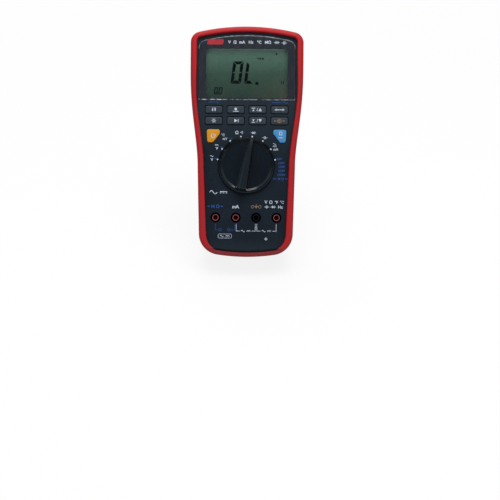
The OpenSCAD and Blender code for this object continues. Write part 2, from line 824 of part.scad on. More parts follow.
module wiper_contacts() {
    top = -rotor_top - rotor_t;
    low = wiper_gap - board_top;
    color("gold") at_knob() for (i = [0:wiper_count - 1]) rotate([0, 0, 360 / wiper_count * i])
        translate([wiper_in, wiper_w / 2, 0]) rotate([90, 0, 0]) linear_extrude(wiper_w)
            polygon([[0, top], [wiper_root, top], [wiper_len - wiper_tip, low + wiper_t],
                [wiper_len - wiper_lift, low + wiper_t], [wiper_len, low + 2 * wiper_t],
                [wiper_len, low + wiper_t], [wiper_len - wiper_lift, low], [wiper_len - wiper_tip, low],
                [wiper_root, top - wiper_t], [0, top - wiper_t]]);
}

module rotor_screw() {
    color("silver") at_knob() union() {
        translate([0, 0, -stem_end - rotor_screw_head_t])
            cylinder(r = rotor_screw_head_r, h = rotor_screw_head_t);
        translate([0, 0, -stem_end - eps]) cylinder(r = stem_bore_r - thread_slack, h = rotor_screw_len);
    }
}

// Leaf spring on its post, pressing a roller towards the rotor's notches
module detent_spring() {
    color("silver") block([0, detent_y - detent_t / 2], [leaf_len, detent_t], rotor_top + rotor_t, rotor_top);
}

module detent_roller() {
    color("gray") rod([0, detent_y + roller_r], roller_r, rotor_top + rotor_t, rotor_top);
}

// One input jack: a deep cup round a ring that carries the plug contact
module jack(i, tint) {
    ring = jack_ring_d / 2;
    well = jack_well_d / 2;
    cup = well + cup_wall;
    bore = jack_bore / 2;
    mouth = bore + mouth_slack;
    seat = bore + contact_wall + contact_fit;
    end = -contact_start - contact_len - contact_wall;
    color(tint) translate([jack_x[i], jack_y, 0]) rotate_extrude() polygon([
        [mouth + mouth_taper, -ring_drop - mouth_bevel],
        [mouth + mouth_taper + mouth_bevel, -ring_drop],
        [ring - ring_round, -ring_drop], [ring, -ring_drop - ring_round], [ring, well_floor - jack_depth],
        [well, well_floor - jack_depth], [well, -cup_drop], [cup + cup_flange, -cup_drop],
        [cup + cup_flange, -cup_drop - cup_flange], [cup, -cup_drop - cup_flange], [cup, -jack_depth],
        [contact_tail_r + contact_fit, -jack_depth], [contact_tail_r + contact_fit, end],
        [seat, end], [seat, -contact_start], [mouth, -contact_start]]);
}

// Brass tube with a closed end and a solder tail
module jack_contact(i) {
    bore = jack_bore / 2;
    end = -contact_start - contact_len;
    tail_end = -jack_depth - contact_tail;
    color("goldenrod") translate([jack_x[i], jack_y, 0]) rotate_extrude() polygon([
        [bore, -contact_start], [bore + contact_wall, -contact_start],
        [bore + contact_wall, end - contact_wall], [contact_tail_r, end - contact_wall],
        [contact_tail_r, tail_end], [0, tail_end], [0, end], [bore, end]]);
}

// Parts on the board's back
fuse_y = jack_y - 21.2;
fuse_lift = 1.2;
fuse_r = 5;
fuse_len = 38;
fuse_cap = 9;
fuse_z = -(board_back + fuse_lift + fuse_r);
clip_w = 7;
clip_t = 0.5;
clip_foot = 6;
clip_open = 0.4;
lead_r = 0.5;
part_lift = 0.3;

module fuse() {
    color("linen") translate([-fuse_len / 2, fuse_y, fuse_z]) rotate([0, 90, 0]) union() {
        cylinder(r = fuse_r, h = fuse_cap);
        translate([0, 0, fuse_cap]) cylinder(r = fuse_r - cell_clear, h = fuse_len - 2 * fuse_cap);
        translate([0, 0, fuse_len - fuse_cap]) cylinder(r = fuse_r, h = fuse_cap);
    }
}

module fuse_clips() {
    r = fuse_r + contact_fit;
    color("goldenrod") for (side = [-1, 1])
        translate([side * (fuse_len - fuse_cap) / 2 - clip_w / 2, fuse_y, fuse_z]) rotate([0, 90, 0])
            difference() {
                union() {
                    cylinder(r = r + clip_t, h = clip_w);
                    translate([-fuse_r - fuse_lift, -clip_foot / 2, 0])
                        cube([2 * fuse_lift, clip_foot, clip_w]);
                }
                translate([0, 0, -1]) cylinder(r = r, h = clip_w + 2);
                translate([fuse_r * clip_open, -2 * fuse_r, -1])
                    cube([2 * fuse_r, 4 * fuse_r, clip_w + 2]);
            }
}

core_at = [-20, body_len - 37];
core_size = [24, 20];
core_h = 10.5;
core_leg = 4;
core_window = 5.8;
core_lift = 0.6;
bobbin_gap = 0.2;

module transformer_core() {
    color("dimgray") difference() {
        block(core_at, core_size, board_back + core_lift + core_h, board_back + core_lift);
        for (side = [-1, 1])
            block([core_at[0] + side * core_size[0] / 4, core_at[1]],
                [core_window, core_size[1] - 2 * core_leg],
                board_back + core_lift + core_h + 1, board_back);
    }
}

module transformer_bobbin() {
    hole = core_size[0] / 2 - core_window + 2 * bobbin_gap;
    wide = core_size[0] / 2 + core_window - 2 * bobbin_gap;
    high = core_size[1] - 2 * (core_leg + bobbin_gap);
    color("khaki") difference() {
        union() {
            block(core_at, [wide, high],
                board_back + core_h + bobbin_gap, board_back + core_lift + bobbin_gap);
            for (i = [-1:1], side = [-1, 1])
                rod([core_at[0] + side * core_size[0] / 4, core_at[1] + i * high / 4], lead_r,
                    board_back + core_lift + 2 * bobbin_gap, board_back);
        }
        block(core_at, [hole, core_size[1]], board_back + core_h + core_lift + 1, board_back);
    }
}

capacitor_at = [[12, body_len - 31], [12, body_len - 43]];
capacitor_size = [20, 9];
capacitor_h = 10;
lead_pitch = 15;

module film_capacitors() {
    color("orange") for (p = capacitor_at) union() {
        round_block(p, capacitor_size, 1, board_back + part_lift + capacitor_h, board_back + part_lift);
        for (side = [-1, 1]) rod([p[0] + side * lead_pitch / 2, p[1]], lead_r, board_back + 1, board_back);
    }
}

relay_at = [[25, body_len - 63], [25, body_len - 76]];
relay_size = [20, 10.5];
relay_h = 10.5;
relay_row = 7;

module relays() {
    color("white") for (p = relay_at) union() {
        block(p, relay_size, board_back + part_lift + relay_h, board_back + part_lift);
        for (side = [-1, 1], row = [-1, 1])
            rod([p[0] + side * lead_pitch / 2, p[1] + row * relay_row / 2], lead_r,
                board_back + 1, board_back);
    }
}

buzzer_at = [-26, body_len - 65];
buzzer_r = 8.5;
buzzer_h = 7;
buzzer_hole_r = 1.2;
buzzer_hole_h = 2;

module buzzer() {
    color("black") difference() {
        rod(buzzer_at, buzzer_r, board_back + buzzer_h, board_back);
        rod(buzzer_at, buzzer_hole_r, board_back + buzzer_h + 1, board_back + buzzer_h - buzzer_hole_h);
    }
}

surge_y = jack_y + 7.9;
surge_at = [for (i = [-1:1]) [i * jack_pitch, surge_y]];
surge_r = 4.6;
surge_t = 3.4;
surge_lift = 0.8;
surge_leads = 5;

module surge_absorbers() {
    color("royalblue") for (p = surge_at) union() {
        translate([p[0], p[1] + surge_t / 2, -(board_back + surge_r + surge_lift)]) rotate([90, 0, 0])
            cylinder(r = surge_r, h = surge_t);
        for (side = [-1, 1])
            rod([p[0] + side * surge_leads / 2, p[1]], lead_r, board_back + surge_r - surge_lift, board_back);
    }
}

// Each chip as [x, y, width, height, thickness]
chip_at = [[0, body_len - 57, 14, 14, 1.6], [0, body_len - 87, 10, 10, 1.4],
    [-30, body_len - 87, 9, 6, 1.6], [-8, body_len - 19, 8, 5, 1.6]];
chip_pins = 5;
pin_len = 1.4;
pin_w = 0.6;
pin_t = 0.8;

module chips() {
    color("black") for (c = chip_at) union() {
        block([c[0], c[1]], [c[2] - 2 * (pin_len - pin_w / 2), c[3]],
            board_back + c[4], board_back + slack / 2);
        for (side = [-1, 1], i = [0:chip_pins - 1])
            block([c[0] + side * (c[2] - pin_len) / 2,
                c[1] + (i - (chip_pins - 1) / 2) * (c[3] - 2) / chip_pins],
                [pin_len, pin_w], board_back + pin_t, board_back);
    }
}

resistor_pitch = 13;
resistor_at = [for (i = [-2:2]) [i * resistor_pitch, jack_y + 17.3]];
resistor_r = 1.6;
resistor_len = 8;

module input_resistors() {
    color("lightblue") for (p = resistor_at) translate([p[0], p[1], -(board_back + resistor_r)])
        rotate([90, 0, 0]) translate([0, 0, -resistor_len / 2]) cylinder(r = resistor_r, h = resistor_len);
}

// Battery cells, the even ones turned round
cell_x = [for (i = [0:cells - 1]) (i - (cells - 1) / 2) * cell_pitch];

module battery(i) {
    flip = i % 2 == 0;
    low = flip ? cell_y + button_h : cell_y;
    color("darkslateblue") translate([cell_x[i - 1], low, cell_z]) rotate([-90, 0, 0]) union() {
        cylinder(r = cell_d / 2, h = cell_len);
        translate([0, 0, flip ? -button_h : cell_len - eps]) cylinder(r = button_r, h = button_h + eps);
    }
}

module battery_contacts() {
    wide = cell_d - 2 * plate_in;
    lows = [[(cell_x[0] + cell_x[1]) / 2, cell_pitch + wide],
        [(cell_x[2] + cell_x[3]) / 2, cell_pitch + wide]];
    highs = [[cell_x[0], wide], [(cell_x[1] + cell_x[2]) / 2, cell_pitch + wide], [cell_x[3], wide]];
    color("silver") {
        for (c = lows) contact_plate(c, bay_low, 1);
        for (c = highs) contact_plate(c, bay_high, -1);
    }
}

module contact_plate(c, wall_y, inward) {
    centres = c[1] > cell_pitch ? [c[0] - cell_pitch / 2, c[0] + cell_pitch / 2] : [c[0]];
    union() {
        block([c[0], wall_y + inward * plate_t / 2], [c[1], plate_t], cell_d / 2 - 2 * plate_in - cell_z,
            bay_roof + contact_fit);
        for (x = centres)
            translate([x, wall_y + inward * plate_t, cell_z]) rotate([-90 * inward, 0, 0])
                cylinder(r1 = dimple_r, r2 = dimple_r - 1, h = dimple_h);
    }
}

module supply_pins() {
    color("gold") for (x = [cell_x[0], cell_x[3]])
        rod([x, bay_high + bay_wall + pin_gap], supply_pin_r, bay_roof, board_back);
}

module battery_cover() {
    color("dimgray") difference() {
        translate([0, 0, -case_back]) linear_extrude(case_wall) cover_shape(0);
        for (side = [-1, 1]) {
            rod([side * cover_screw_x, cover_screw_y], cover_screw_r + slack,
                case_back + 1, case_back - case_wall - 1);
            rod([side * cover_screw_x, cover_screw_y], head_r + slack, case_back + 1, case_back - head_t);
        }
        for (i = [0:grip_count - 1])
            block([0, cover_low + grip_start + i * grip_pitch], [grip_len, grip_w],
                case_back + 1, case_back - grip_deep);
    }
}

module pan_screw(at, head_level, r, len, hr, ht) {
    difference() {
        union() {
            rod(at, hr, head_level, head_level - ht);
            rod(at, r, head_level, head_level - ht - len);
        }
        for (a = [0, 90]) translate([at[0], at[1], -head_level - 1]) rotate([0, 0, a])
            translate([-hr * slot_share, -slot_w / 2, 0]) cube([2 * hr * slot_share, slot_w, slot_deep + 1]);
    }
}

module cover_screws() {
    color("silver") for (side = [-1, 1])
        pan_screw([side * cover_screw_x, cover_screw_y], case_back, cover_screw_r,
            case_wall + cover_screw_len, head_r, head_t);
}

module case_screws() {
    color("silver") for (p = case_posts)
        pan_screw(p, case_back, case_screw_r, case_back - case_head_t - post_end + case_screw_in,
            case_head_r, case_head_t);
}

module board_screws() {
    color("silver") for (p = board_posts)
        pan_screw(p, board_back + board_head_t, board_screw_r, board_t + board_screw_in,
            board_head_r, board_head_t);
}

// Stand: drawn folded with its hinge on the origin, then opened
module tilt_stand() {
    web_low = -plate_near - web_root;
    web = [[-web_left, 0], [-web_left, web_low], [-web_right, web_low], [-web_right, 0]];
    stop = hinge_in + stop_gap;
    stop_near = -stop / sin(stand_open) + plate_near / tan(stand_open);
    stop_far = -stop / sin(stand_open) + plate_far / tan(stand_open);
    color("dimgray") translate([0, hinge_y, hinge_z]) rotate([stand_open, 0, 0]) difference() {
        union() {
            translate([-stand_w / 2, 0, 0]) rotate([0, 90, 0]) cylinder(r = barrel_r, h = stand_w);
            intersection() {
                side_extrude(concat([for (i = [0:4]) let (a = 90 + 45 * i)
                    [-stand_reach + foot_r * cos(a), -plate_mid + foot_r * sin(a)]],
                    [[stop_far, -plate_far], [stop_near, -plate_near]]), stand_w);
                translate([0, 0, -2 * plate_far]) linear_extrude(3 * plate_far) stand_plan();
            }
            side_extrude(web, stand_w);
        }
        for (i = [0:dish_count - 1])
            translate([0, -dish_start - (i + 0.5) * dish_pitch, -plate_far - stand_dish])
                linear_extrude(2 * stand_dish)
                    polygon(round_box(stand_foot_w - 2 * stand_border, dish_pitch - stand_rib, dish_corner));
        translate([-stand_w, 0, 0]) rotate([0, 90, 0]) cylinder(r = pin_r + pin_fit, h = 2 * stand_w);
    }
}

module side_extrude(points, w) {
    translate([-w / 2, 0, 0]) rotate([90, 0, 90]) linear_extrude(w) polygon(points);
}

// The stand seen flat: full width at the hinge, narrower at the foot, with a thumb notch
module stand_plan() {
    low = -stand_reach - foot_r;
    cut = stand_corner * stand_cut;
    half = [[stand_w / 2, 3 * barrel_r], [stand_w / 2, -stand_shoulder],
        [stand_foot_w / 2, low + stand_corner], [stand_foot_w / 2 - cut, low + cut],
        [stand_foot_w / 2 - stand_corner, low]];
    difference() {
        polygon(concat(half, [for (i = [len(half) - 1:-1:0]) [-half[i][0], half[i][1]]]));
        translate([0, low + notch_reach - thumb_r]) circle(r = thumb_r, $fn = 96);
    }
}

module stand_pin() {
    color("silver") along_hinge(pin_r, stand_w / 2 + rail_end);
}

lean_back() holster();
lean_back() front_case();
lean_back() rear_case();
lean_back() display_window();
lean_back() lcd_frame();
lean_back() lcd_glass();
lean_back() backlight();
lean_back() display_connector();
lean_back() main_board();
lean_back() keypad_mat();
lean_back() upper_key(1);  // upper_key_1
lean_back() upper_key(2);  // upper_key_2
lean_back() upper_key(3);  // upper_key_3
lean_back() upper_key(4);  // upper_key_4
lean_back() lower_key(1);  // lower_key_1
lean_back() lower_key(2);  // lower_key_2
lean_back() lower_key(3);  // lower_key_3
lean_back() lower_key(4);  // lower_key_4
lean_back() yellow_key();
lean_back() blue_key();
lean_back() selector_knob();
lean_back() selector_rotor();
lean_back() wiper_contacts();
lean_back() rotor_screw();
lean_back() detent_spring();
lean_back() detent_roller();
lean_back() jack(0, "firebrick");  // insulation_jack
lean_back() jack(1, "firebrick");  // milliamp_jack
lean_back() jack(2, "black");  // common_jack
lean_back() jack(3, "firebrick");  // volt_jack
lean_back() jack_contact(0);  // insulation_contact
lean_back() jack_contact(1);  // milliamp_contact
lean_back() jack_contact(2);  // common_contact
lean_back() jack_contact(3);  // volt_contact
lean_back() fuse();
lean_back() fuse_clips();
lean_back() transformer_core();
lean_back() transformer_bobbin();
lean_back() film_capacitors();
lean_back() relays();
lean_back() buzzer();
lean_back() surge_absorbers();
lean_back() chips();
lean_back() input_resistors();
lean_back() battery(1);  // battery_1
lean_back() battery(2);  // battery_2
lean_back() battery(3);  // battery_3
lean_back() battery(4);  // battery_4
lean_back() battery_contacts();
lean_back() supply_pins();
lean_back() battery_cover();
lean_back() cover_screws();
lean_back() case_screws();
lean_back() board_screws();
lean_back() tilt_stand();
lean_back() stand_pin();
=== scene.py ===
"""A handheld insulation multimeter in its rubber boot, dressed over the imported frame.

Places and lengths are written in millimetres in the meter's own axes: x across the
face, y up the face, z out of the printed panel. Stance.place turns them into the
shared frame, in metres.
"""

import json
import logging
import math
from collections.abc import Sequence
from dataclasses import dataclass, field
from enum import Enum
from functools import partial

import bpy
import numpy as np
from mathutils import Matrix, Vector

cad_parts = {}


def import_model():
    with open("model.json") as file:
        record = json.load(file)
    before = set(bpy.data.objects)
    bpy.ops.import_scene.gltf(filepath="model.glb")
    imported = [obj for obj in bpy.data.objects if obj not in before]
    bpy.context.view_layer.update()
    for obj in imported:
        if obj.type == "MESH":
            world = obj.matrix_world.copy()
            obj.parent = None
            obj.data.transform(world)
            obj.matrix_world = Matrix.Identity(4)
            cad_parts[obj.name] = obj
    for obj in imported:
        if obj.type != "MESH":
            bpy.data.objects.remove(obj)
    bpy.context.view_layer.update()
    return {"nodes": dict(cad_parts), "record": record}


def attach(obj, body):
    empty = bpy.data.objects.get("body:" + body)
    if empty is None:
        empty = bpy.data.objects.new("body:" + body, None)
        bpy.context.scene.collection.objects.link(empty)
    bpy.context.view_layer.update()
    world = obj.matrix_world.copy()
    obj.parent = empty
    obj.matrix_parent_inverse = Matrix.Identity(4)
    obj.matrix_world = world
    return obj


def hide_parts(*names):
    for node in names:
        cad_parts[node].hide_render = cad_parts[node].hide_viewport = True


LOG = logging.getLogger("multimeter")
MM = 0.001
Faces = list[list[int]]
Shape = tuple[np.ndarray, Faces]
Tone = tuple[int, int, int]
Span = tuple[float, float]
Material = bpy.types.Material
Socket = bpy.types.NodeSocket

# Places on the meter, in mm
ACROSS = np.array([1.0, 0.0, 0.0])
BODY_LEN = 215.0
BOOT_DEPTH = 44.0
FOOT_ARCH_R = 180.0
PANEL_FOOT_R = FOOT_ARCH_R - 4.4
KNOB_Y = 85.5
KNOB_TURN = -11.25
KNOB_LIP_R = 24.2
KNOB_LIP_W = 2.1
JACK_Y = 36.7
JACK_PITCH = 19.0
JACK_RING_R = 2.75
SOCKET_END = -28.2

# Looks
WHITE = (1.0, 1.0, 1.0, 1.0)
# Painted shade: the tone of the panel's painted shadows and shaded hollows
PAINTED_SHADE = (5, 7, 9)
NOISE_RANGE = (0.3, 0.7)
GLINT_RANGE = (0.42, 0.6)
GLINT_MM = 4.0
INK_SHADE = 0.86
INK_GLOSS = 0.3
SEGMENT_GLOSS = 0.05


class Body(Enum):
    """The moving bodies that a new piece may ride on."""

    METER = "meter"
    SELECTOR = "selector"


class Slot(Enum):
    """The record's material slots."""

    BOOT = "boot_rubber"
    PANEL = "panel_plastic"
    REAR = "rear_plastic"
    WINDOW = "window_clear"
    FRAME = "frame_white"
    DISPLAY = "lcd_green"
    LIGHT = "light_guide"
    CONNECTOR = "connector_rubber"
    BOARD = "board_green"
    MAT = "mat_silicone"
    KEY = "key_grey"
    YELLOW = "key_yellow"
    BLUE = "key_blue"
    KNOB = "knob_black"
    ROTOR = "rotor_nylon"
    BRASS = "contact_brass"
    SCREW = "screw_steel"
    SPRING = "spring_steel"
    RED_JACK = "jack_red"
    BLACK_JACK = "jack_black"
    FUSE = "fuse_ceramic"
    FERRITE = "ferrite"
    WINDING = "winding_tape"
    CAPACITOR = "capacitor_shell"
    RELAY = "relay_white"
    CHIP = "chip_black"
    SURGE = "surge_blue"
    PLATE = "plate_steel"
    STAND = "stand_plastic"
    CELL = "cell_wrap"


@dataclass(frozen=True)
class Stance:
    """How the meter leans back over the floor."""

    body_len: float = BODY_LEN
    boot_depth: float = BOOT_DEPTH
    edge_r: float = 5.0
    rim_h: float = 3.5
    lean_deg: float = 60.0

    @property
    def lean(self) -> float:
        """The face's angle above the floor, in radians."""
        return math.radians(self.lean_deg)

    @property
    def up(self) -> np.ndarray:
        """The direction up the face, in the shared frame."""
        return np.array([0.0, math.cos(self.lean), math.sin(self.lean)])

    @property
    def out(self) -> np.ndarray:
        """The direction out of the face, in the shared frame."""
        return np.array([0.0, -math.sin(self.lean), math.cos(self.lean)])

    @property
    def origin(self) -> np.ndarray:
        """The foot of the panel's centre line in the shared frame, in mm.

        The lowest edge touches the floor, and the leaning box is centred front to back.
        """
        c, s = math.cos(self.lean), math.sin(self.lean)
        floor = self.edge_r * s - (self.boot_depth - self.edge_r) * c - self.edge_r
        front = self.rim_h * c - self.rim_h
        back = (self.body_len - self.edge_r) * c + (self.boot_depth - self.edge_r) * s + self.edge_r
        return np.array([0.0, -(front + back) / 2, -floor])

    def place(self, points: np.ndarray) -> np.ndarray:
        """Turns points on the meter's axes, in mm, into the shared frame, in metres.

        Args:
            points: n by 3 array of x across, y up the face and z out of it.

        Returns:
            n by 3 array: origin + x·across + y·up + z·out, times 0.001.
        """
        turned = points[:, :1] * ACROSS + points[:, 1:2] * self.up + points[:, 2:3] * self.out
        return (turned + self.origin) * MM


STANCE = Stance()


# Shapes


def clamp(t: np.ndarray) -> np.ndarray:
    """Limits values to 0..1."""
    return np.clip(t, 0.0, 1.0)


def smooth_step(t: np.ndarray) -> np.ndarray:
    """Soft step from 0 to 1: 3t² − 2t³."""
    t = clamp(t)
    return t * t * (3 - 2 * t)


def soft_min(a: np.ndarray, b: np.ndarray, k: float) -> np.ndarray:
    """Lower of two heights with a round of size k where they meet.

    It is the minimum less k/4·h², where h = 1 − |a − b| / k.
    """
    h = np.maximum(k - np.abs(a - b), 0.0) / k
    return np.minimum(a, b) - h * h * k / 4


def soft_max(a: np.ndarray, b: np.ndarray, k: float) -> np.ndarray:
    """Higher of two heights with a fillet of size k where they meet."""
    return -soft_min(-a, -b, k)


def grid_quads(rows: int, cols: int, loop_rows: bool = False) -> Faces:
    """Quads of a grid whose columns run round and close on themselves.

    Args:
        rows: number of rings.
        cols: points in each ring.
        loop_rows: joins the last ring to the first.

    Returns:
        Corner numbers, outwards when rings run counter-clockwise and rows run up.
    """
    r = np.arange(rows if loop_rows else rows - 1)[:, None]
    c = np.arange(cols)[None, :]
    near, far, turn = r * cols, ((r + 1) % rows) * cols, (c + 1) % cols
    return np.stack([near + c, near + turn, far + turn, far + c], -1).reshape(-1, 4).tolist()


def rings(points: np.ndarray) -> Shape:
    """A closed skin through rings, with a flat face over the first and the last.

    Args:
        points: rows by columns by 3 array.

    Returns:
        Points and faces.
    """
    rows, cols = points.shape[:2]
    ends = [list(range(cols))[::-1], list(range((rows - 1) * cols, rows * cols))]
    return points.reshape(-1, 3), grid_quads(rows, cols) + ends


def tube(points: np.ndarray) -> Shape:
    """A closed skin through rings whose last row joins the first."""
    rows, cols = points.shape[:2]
    return points.reshape(-1, 3), grid_quads(rows, cols, loop_rows=True)


def plate(outline: np.ndarray, low: float, high: float) -> Shape:
    """A flat plate between two levels from a counter-clockwise outline."""
    return rings(np.stack([at_level(outline, low), at_level(outline, high)]))


def ribbon(path: np.ndarray, width: float, low: float, high: float, closed: bool = False) -> Shape:
    """A flat strip of even width along a path.

    At each point the sides stand off by half the width along the mitre, which is the
    mean of the two neighbours' normals, lengthened by 1/cos of half the bend.

    Args:
        path: n by 2 array.
        width: width of the strip.
        low: lower level.
        high: upper level.
        closed: the path's end joins its start.

    Returns:
        Points and faces.
    """
    step = np.roll(path, -1, 0) - path
    if not closed:
        step[-1] = step[-2]
    ahead = step / np.linalg.norm(step, axis=1, keepdims=True)
    behind = np.roll(ahead, 1, 0)
    if not closed:
        behind[0] = ahead[0]
    mean = ahead + behind
    mean /= np.linalg.norm(mean, axis=1, keepdims=True)
    side = np.stack([-mean[:, 1], mean[:, 0]], 1)
    side *= (width / 2 / np.maximum((mean * ahead).sum(1), 0.5))[:, None]
    left, right = path + side, path - side
    corners = [(left, low), (left, high), (right, high), (right, low)]
    points = np.stack([at_level(p, z) for p, z in corners], 1)
    return tube(points) if closed else rings(points)


def turn_steps(steps: int) -> np.ndarray:
    """Even angles round a whole turn, in radians."""
    return np.linspace(0, 2 * np.pi, steps, endpoint=False)


def spoke(a: np.ndarray, r: float = 1.0, centre: Sequence[float] = (0.0, 0.0)) -> np.ndarray:
    """Points at angles in radians and a distance from a centre."""
    return np.asarray(centre) + r * np.stack([np.cos(a), np.sin(a)], -1)


def at_level(outline: np.ndarray, level: float) -> np.ndarray:
    """A flat outline's points on one level."""
    return np.hstack([outline, np.full((len(outline), 1), level)])


def disc(centre: Sequence[float], r: float, steps: int = 24) -> np.ndarray:
    """Points of a circle, counter-clockwise."""
    return spoke(turn_steps(steps), r, centre)


def arc(centre: Sequence[float], r: float, start: float, stop: float, steps: int = 16) -> np.ndarray:
    """Points of an arc between two angles in degrees."""
    return spoke(np.radians(np.linspace(start, stop, steps)), r, centre)


def round_box(w: float, h: float, r: float, steps: int = 6) -> np.ndarray:
    """A box outline with round corners about the origin, counter-clockwise."""
    places = [(1, 1, 0), (-1, 1, 90), (-1, -1, 180), (1, -1, 270)]
    return np.vstack(
        [arc((x * (w / 2 - r), y * (h / 2 - r)), r, a, a + 90, steps) for x, y, a in places]
    )


def soft_corners(corners: np.ndarray, r: float, grow: float, steps: int = 8) -> np.ndarray:
    """A convex outline with round corners, grown by a distance.

    Each corner is an arc of radius r + grow about the point that lies r inside both edges.
    """
    ahead = np.roll(corners, -1, 0) - corners
    behind = corners - np.roll(corners, 1, 0)
    start = np.arctan2(behind[:, 1], behind[:, 0]) - np.pi / 2
    bend = (np.arctan2(ahead[:, 1], ahead[:, 0]) - np.pi / 2 - start) % (2 * np.pi)
    middle = start + bend / 2
    centre = corners - (r / np.cos(bend / 2))[:, None] * spoke(middle)
    a = start[:, None] + bend[:, None] * np.linspace(0, 1, steps)
    return spoke(a, r + grow, centre[:, None, :]).reshape(-1, 2)


def by_angle(outline: np.ndarray, centre: Sequence[float], angles: np.ndarray) -> np.ndarray:
    """Points of an outline at given angles round a centre that sees all of it.

    Between two corners the point lies where the ray meets the edge:
    distance = cross(a, b − a) / cross(ray, b − a), with a and b from the centre.
    """
    start = outline - np.asarray(centre)
    turn = np.unwrap(np.arctan2(start[:, 1], start[:, 0]))
    order = np.argsort(turn % (2 * np.pi))
    start = start[order]
    known = (turn % (2 * np.pi))[order]
    slot = np.searchsorted(known, angles % (2 * np.pi), side="right") - 1
    a = start[slot]
    edge = start[(slot + 1) % len(start)] - a
    ray = spoke(angles)
    far = (a[:, 0] * edge[:, 1] - a[:, 1] * edge[:, 0]) / (ray[:, 0] * edge[:, 1] - ray[:, 1] * edge[:, 0])
    return np.asarray(centre) + ray * far[:, None]


def merge(shapes: Sequence[Shape]) -> Shape:
    """Joins shapes into one list of points and faces."""
    points, faces, start = [], [], 0
    for p, f in shapes:
        points.append(p)
        faces += [[i + start for i in face] for face in f]
        start += len(p)
    return np.vstack(points), faces


def piece(
    name: str,
    shape: Shape,
    finish: Material,
    slot: Slot,
    stands_for: Sequence[str] = (),
    body: str = Body.METER.value,
    crease_deg: float = 35.0,
) -> bpy.types.Object:
    """Makes one piece from a shape on the meter's axes and lets it ride on a body.

    Args:
        name: the piece's name.
        shape: points in mm and faces.
        finish: its material.
        slot: the record's slot that the finish belongs to; not used.
        stands_for: the CAD nodes that it replaces.
        body: name of the body that carries it.
        crease_deg: edges that bend more than this stay sharp.

    Returns:
        The new object, at the origin, with its place in its mesh.
    """
    mesh = bpy.data.meshes.new(name)
    mesh.from_pydata(STANCE.place(shape[0]).tolist(), [], shape[1])
    mesh.polygons.foreach_set("use_smooth", np.ones(len(mesh.polygons), dtype=bool))
    mesh.set_sharp_from_angle(angle=math.radians(crease_deg))
    mesh.materials.append(finish)
    mesh.update()
    made = bpy.data.objects.new(name, mesh)
    bpy.context.scene.collection.objects.link(made)
    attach(made, body)
    if stands_for:
        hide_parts(*stands_for)
    LOG.info("%s: %d points on %s", name, len(mesh.vertices), body)
    return made


# Finishes


def linear(colour: Sequence[float]) -> tuple[float, float, float, float]:
    """Turns a screen colour of 0..255 into scene-linear red, green, blue and alpha 1."""
    c = np.asarray(colour, float) / 255
    low = c / 12.92
    high = ((c + 0.055) / 1.055) ** 2.4
    r, g, b = np.where(c <= 0.04045, low, high)
    return float(r), float(g), float(b), 1.0


class Tree:
    """A node tree that is being laid out."""

    def __init__(self, tree: bpy.types.NodeTree) -> None:
        """Starts afresh on a tree.

        Args:
            tree: the tree, which loses the nodes that it has.
        """
        self.tree = tree
        self.tree.nodes.clear()

    def join(self, a: Socket, b: Socket) -> None:
        """Links an output to an input."""
        self.tree.links.new(a, b)

    def put(self, socket: Socket, value: object) -> None:
        """Links a socket to a value's socket, or fills it with a value."""
        if isinstance(value, Socket):
            self.join(value, socket)
        else:
            socket.default_value = value

    def node(self, kind: str, **inputs: object) -> bpy.types.Node:
        """Adds a node and fills or links its inputs by name.

        Args:
            kind: the node's type.
            inputs: values, or sockets to link, by input name with _ for a space.

        Returns:
            The node.
        """
        made = self.tree.nodes.new(kind)
        for key, value in inputs.items():
            self.put(made.inputs[key.replace("_", " ")], value)
        return made

    def span(self, value: Socket, low: float, high: float, to_low: float, to_high: float) -> Socket:
        """Maps low..high of a value to to_low..to_high, clamped."""
        made = self.node(
            "ShaderNodeMapRange", Value=value, From_Min=low, From_Max=high, To_Min=to_low, To_Max=to_high
        )
        return made.outputs[0]

    def maths(self, operation: str, *values: object) -> Socket:
        """One sum, product or other operation on two or three values."""
        made = self.node("ShaderNodeMath")
        made.operation = operation
        for socket, value in zip(made.inputs, values):
            self.put(socket, value)
        return made.outputs[0]


